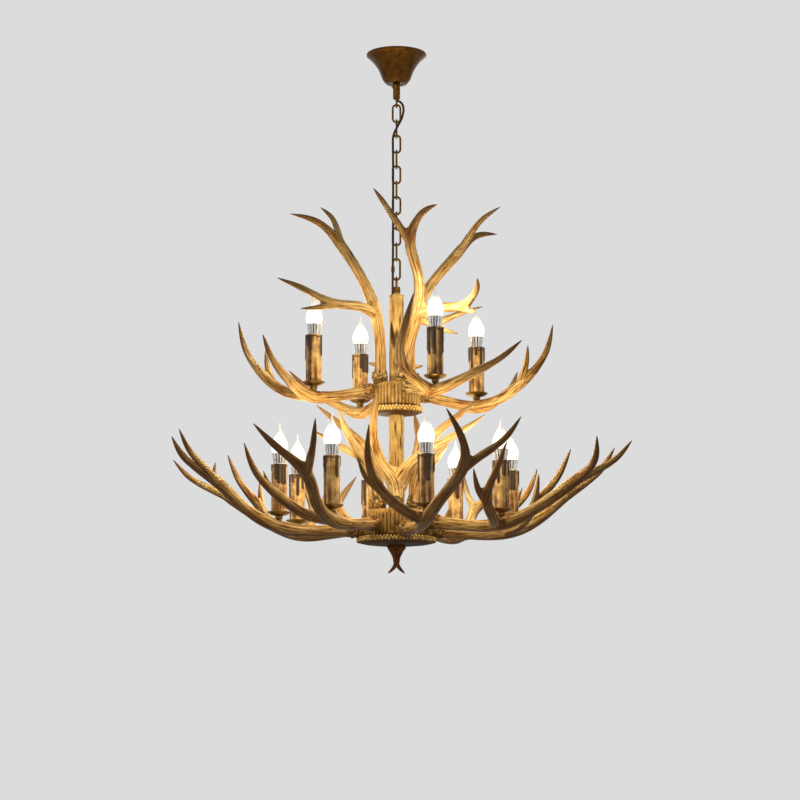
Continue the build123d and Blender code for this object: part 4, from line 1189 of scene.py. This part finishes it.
def oval_mesh(name, low, high, wire_d):
    """Welded oval link that fills a node's box."""
    across = 0 if high[0] - low[0] > high[1] - low[1] else 1
    wire = wire_d * MM / 2
    reach = (high[across] - low[across]) / 2 - wire
    steps, sides = 22, 16
    path = []
    for start, middle in ((0, high[2] - wire - reach), (math.pi, low[2] + wire + reach)):
        for k in range(steps + 1):
            a = start + math.pi * k / steps
            path.append((reach * math.cos(a), middle + reach * math.sin(a)))
    builder = bmesh.new()
    rings = []
    for i, (x, z) in enumerate(path):
        ahead, behind = path[(i + 1) % len(path)], path[i - 1]
        way = Vector((ahead[0] - behind[0], ahead[1] - behind[1])).normalized()
        ring = []
        for a in ring_angles(sides):
            side = wire * math.cos(a)
            spot = [0.0, 0.0, z - way.x * side]
            spot[across] = x + way.y * side
            spot[1 - across] = wire * math.sin(a)
            ring.append(builder.verts.new(spot))
        rings.append(ring)
    bridge(builder, rings + rings[:1])
    bmesh.ops.recalc_face_normals(builder, faces=builder.faces)
    return built_mesh(builder, name)


def cord_line():
    """Points along the cord's smooth spline, in metres."""
    data = bpy.data.curves.new("cord_route", "CURVE")
    data.dimensions = "3D"
    spline = data.splines.new("NURBS")
    spline.points.add(len(CORD_ROUTE) - 1)
    for point, (x, y, z) in zip(spline.points, CORD_ROUTE):
        point.co = (x * MM, y * MM, z * MM, 1.0)
    spline.order_u = 3
    spline.use_endpoint_u = True
    data.resolution_u = 10
    holder = bpy.data.objects.new("cord_route", data)
    bpy.context.scene.collection.objects.link(holder)
    graph = bpy.context.evaluated_depsgraph_get()
    wire = bpy.data.meshes.new_from_object(holder.evaluated_get(graph), depsgraph=graph)
    places = per_vertex(wire, "co")
    bpy.data.objects.remove(holder)
    bpy.data.curves.remove(data)
    bpy.data.meshes.remove(wire)
    return places


def build_cord(material):
    """The supply cord in lengths, one across each swing of the chain."""
    places = cord_line()
    _, across, up = steady_frame(places)
    line = {"place": places, "radius": np.full(len(places), CORD_D / 2 * MM), "across": across, "up": up}
    swings = [j for j in frame["joints"] if j["name"].endswith("_swing")]
    hinges = [j["pos_m"][2] for j in swings]
    cuts = [(a + b) / 2 for a, b in zip(hinges, hinges[1:])]
    half = (hinges[0] - hinges[1]) / 2
    tops = [hinges[0] + half, *cuts]
    ends = [*cuts, hinges[-1] - half]
    for k, (joint, top, end) in enumerate(zip(swings, tops, ends)):
        first = 0 if k == 0 else int(np.argmax(places[:, 2] <= top))
        last = len(places) if k == len(swings) - 1 else int(np.argmax(places[:, 2] <= end)) + 1
        builder = bmesh.new()
        add_tube(builder, {key: values[first:last] for key, values in line.items()}, CORD_SIDES)
        mesh = built_mesh(builder, f"cord_{k + 1:02d}")
        mesh.materials.append(material)
        made = bpy.data.objects.new(f"supply_cord_{k + 1:02d}", mesh)
        bpy.context.scene.collection.objects.link(made)
        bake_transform(made)
        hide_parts("supply_cord")


def build_hanging(bronze, canopy_bronze):
    piece("canopy_bell", canopy_mesh(), [canopy_bronze], "ceiling", ["canopy"])
    for k in range(1, LINK_COUNT + 1):
        node = f"chain_link_{k:02d}"
        low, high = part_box(node)
        mesh = oval_mesh(f"link_{k:02d}", low, high, LINK_WIRE_D)
        piece(f"{node}_wire", mesh, [bronze], f"link_{k:02d}", [node])


# Stage, lights and camera
def build_world():
    """Dim pale light from all round, which looks brighter than it lights."""
    world = bpy.data.worlds.new("studio")
    bpy.context.scene.world = world
    world.use_nodes = True
    tree = world.node_tree
    seen = seen_by(tree, "Is Camera Ray", "Is Glossy Ray", "Is Transmission Ray")
    strength = ranged(tree, seen, WORLD_LIGHT, BACKDROP)
    fill(tree, tree.nodes["Background"], {"Color": WHITE, "Strength": strength})


def build_floor():
    mesh = bpy.data.meshes.new("floor")
    corners = [(-1, -1), (1, -1), (1, 1), (-1, 1)]
    mesh.from_pydata([(x * FLOOR_REACH, y * FLOOR_REACH, FLOOR_Z) for x, y in corners], [], [(0, 1, 2, 3)])
    floor = bpy.data.objects.new("floor", mesh)
    bpy.context.scene.collection.objects.link(floor)
    material, tree, shader = new_material("floor_pale")
    seen = seen_by(tree, "Is Camera Ray", "Is Glossy Ray", "Is Transmission Ray")
    fill(tree, shader, {
        "Emission Strength": maths(tree, seen, FLOOR_LOOK),
        "Emission Color": WHITE,
        "Base Color": (FLOOR_GREY, FLOOR_GREY, FLOOR_GREY, 1.0),
        "Roughness": 0.9,
    })
    mesh.materials.append(material)


def build_lights():
    for name, place, size, watts, colour in STUDIO_LIGHTS:
        lamp = bpy.data.lights.new(name, "AREA")
        lamp.size = size
        lamp.energy = watts
        lamp.color = colour
        holder = bpy.data.objects.new(name, lamp)
        holder.location = place
        holder.rotation_euler = (Vector(LIGHTS_AIM) - Vector(place)).to_track_quat("-Z", "Y").to_euler()
        bpy.context.scene.collection.objects.link(holder)


def build_camera():
    data = bpy.data.cameras.new("camera")
    data.lens = CAMERA_LENS
    data.sensor_width = CAMERA_SENSOR
    data.clip_end = 100.0
    camera = bpy.data.objects.new("camera", data)
    camera.location = CAMERA_PLACE
    camera.rotation_euler = (math.radians(90 + CAMERA_PITCH_UP), 0, 0)
    bpy.context.scene.collection.objects.link(camera)
    bpy.context.scene.camera = camera


def paint(nodes, material):
    """Give CAD nodes a finish."""
    for node in nodes:
        for place in frame["nodes"][node].material_slots:
            place.material = material


bpy.context.scene.view_settings.view_transform = "Standard"
build_camera()
build_world()
build_floor()
build_lights()

bronze = metal_material("antique_bronze", (0.020, 0.009, 0.002), (0.24, 0.112, 0.020), 260.0, 0.38, 1.0)
canopy_bronze = metal_material(
    "canopy_bronze", (0.030, 0.011, 0.002), (0.165, 0.066, 0.011), 420.0, 0.36, 1.0)
brass = metal_material("brass_hardware", (0.28, 0.17, 0.05), (0.72, 0.52, 0.20), 300.0, 0.30)
steel = metal_material("plated_steel", (0.35, 0.35, 0.34), (0.62, 0.62, 0.60), 300.0, 0.34)
cup_metal = metal_material("aged_brass", (0.050, 0.025, 0.006), (0.40, 0.235, 0.050), 240.0, 0.36, 1.0)
fin_metal = metal_material("bulb_fins", (0.55, 0.55, 0.54), (0.85, 0.85, 0.84), 200.0, 0.22)
white_ring = metal_material("bulb_ring", (0.72, 0.71, 0.68), (0.84, 0.83, 0.80), 200.0, 0.40, 0.0)
# dark metal for the slots between the bulb's fins, as painted shade
fin_slot_shade = metal_material("bulb_fin_slot_shade", (0.030, 0.029, 0.028), (0.090, 0.088, 0.085), 200.0, 0.40)
column_resin = stained_material("column_resin", (0.82, 0.57, 0.20), (0.28, 0.130, 0.032), 0.0012)
resin = stained_material("stained_resin", (0.68, 0.43, 0.135), (0.19, 0.082, 0.020), 0.0012)
rim_resin = stained_material("rim_resin", (0.64, 0.370, 0.105), (0.080, 0.032, 0.010), 0.0014)
dark_resin = stained_material("dark_resin", (0.36, 0.135, 0.046), (0.070, 0.025, 0.010), 0.0010)
glass = glass_material()

build_antlers(antler_material())
build_lamps(candle_material(), cup_metal, [glass, fin_metal, white_ring, fin_slot_shade])
build_core(resin, rim_resin, column_resin, dark_resin)
build_hanging(bronze, canopy_bronze)
build_cord(cord_material())
paint(["chain_collar", "screw_link", "top_loop"], bronze)
paint(["plate_nut", "loop_nut", "collar_screw", "screw_link_sleeve"], brass)
paint(["ceiling_plate", "canopy_tube", "centre_tube", "antler_studs", "lamp_holders"], steel)
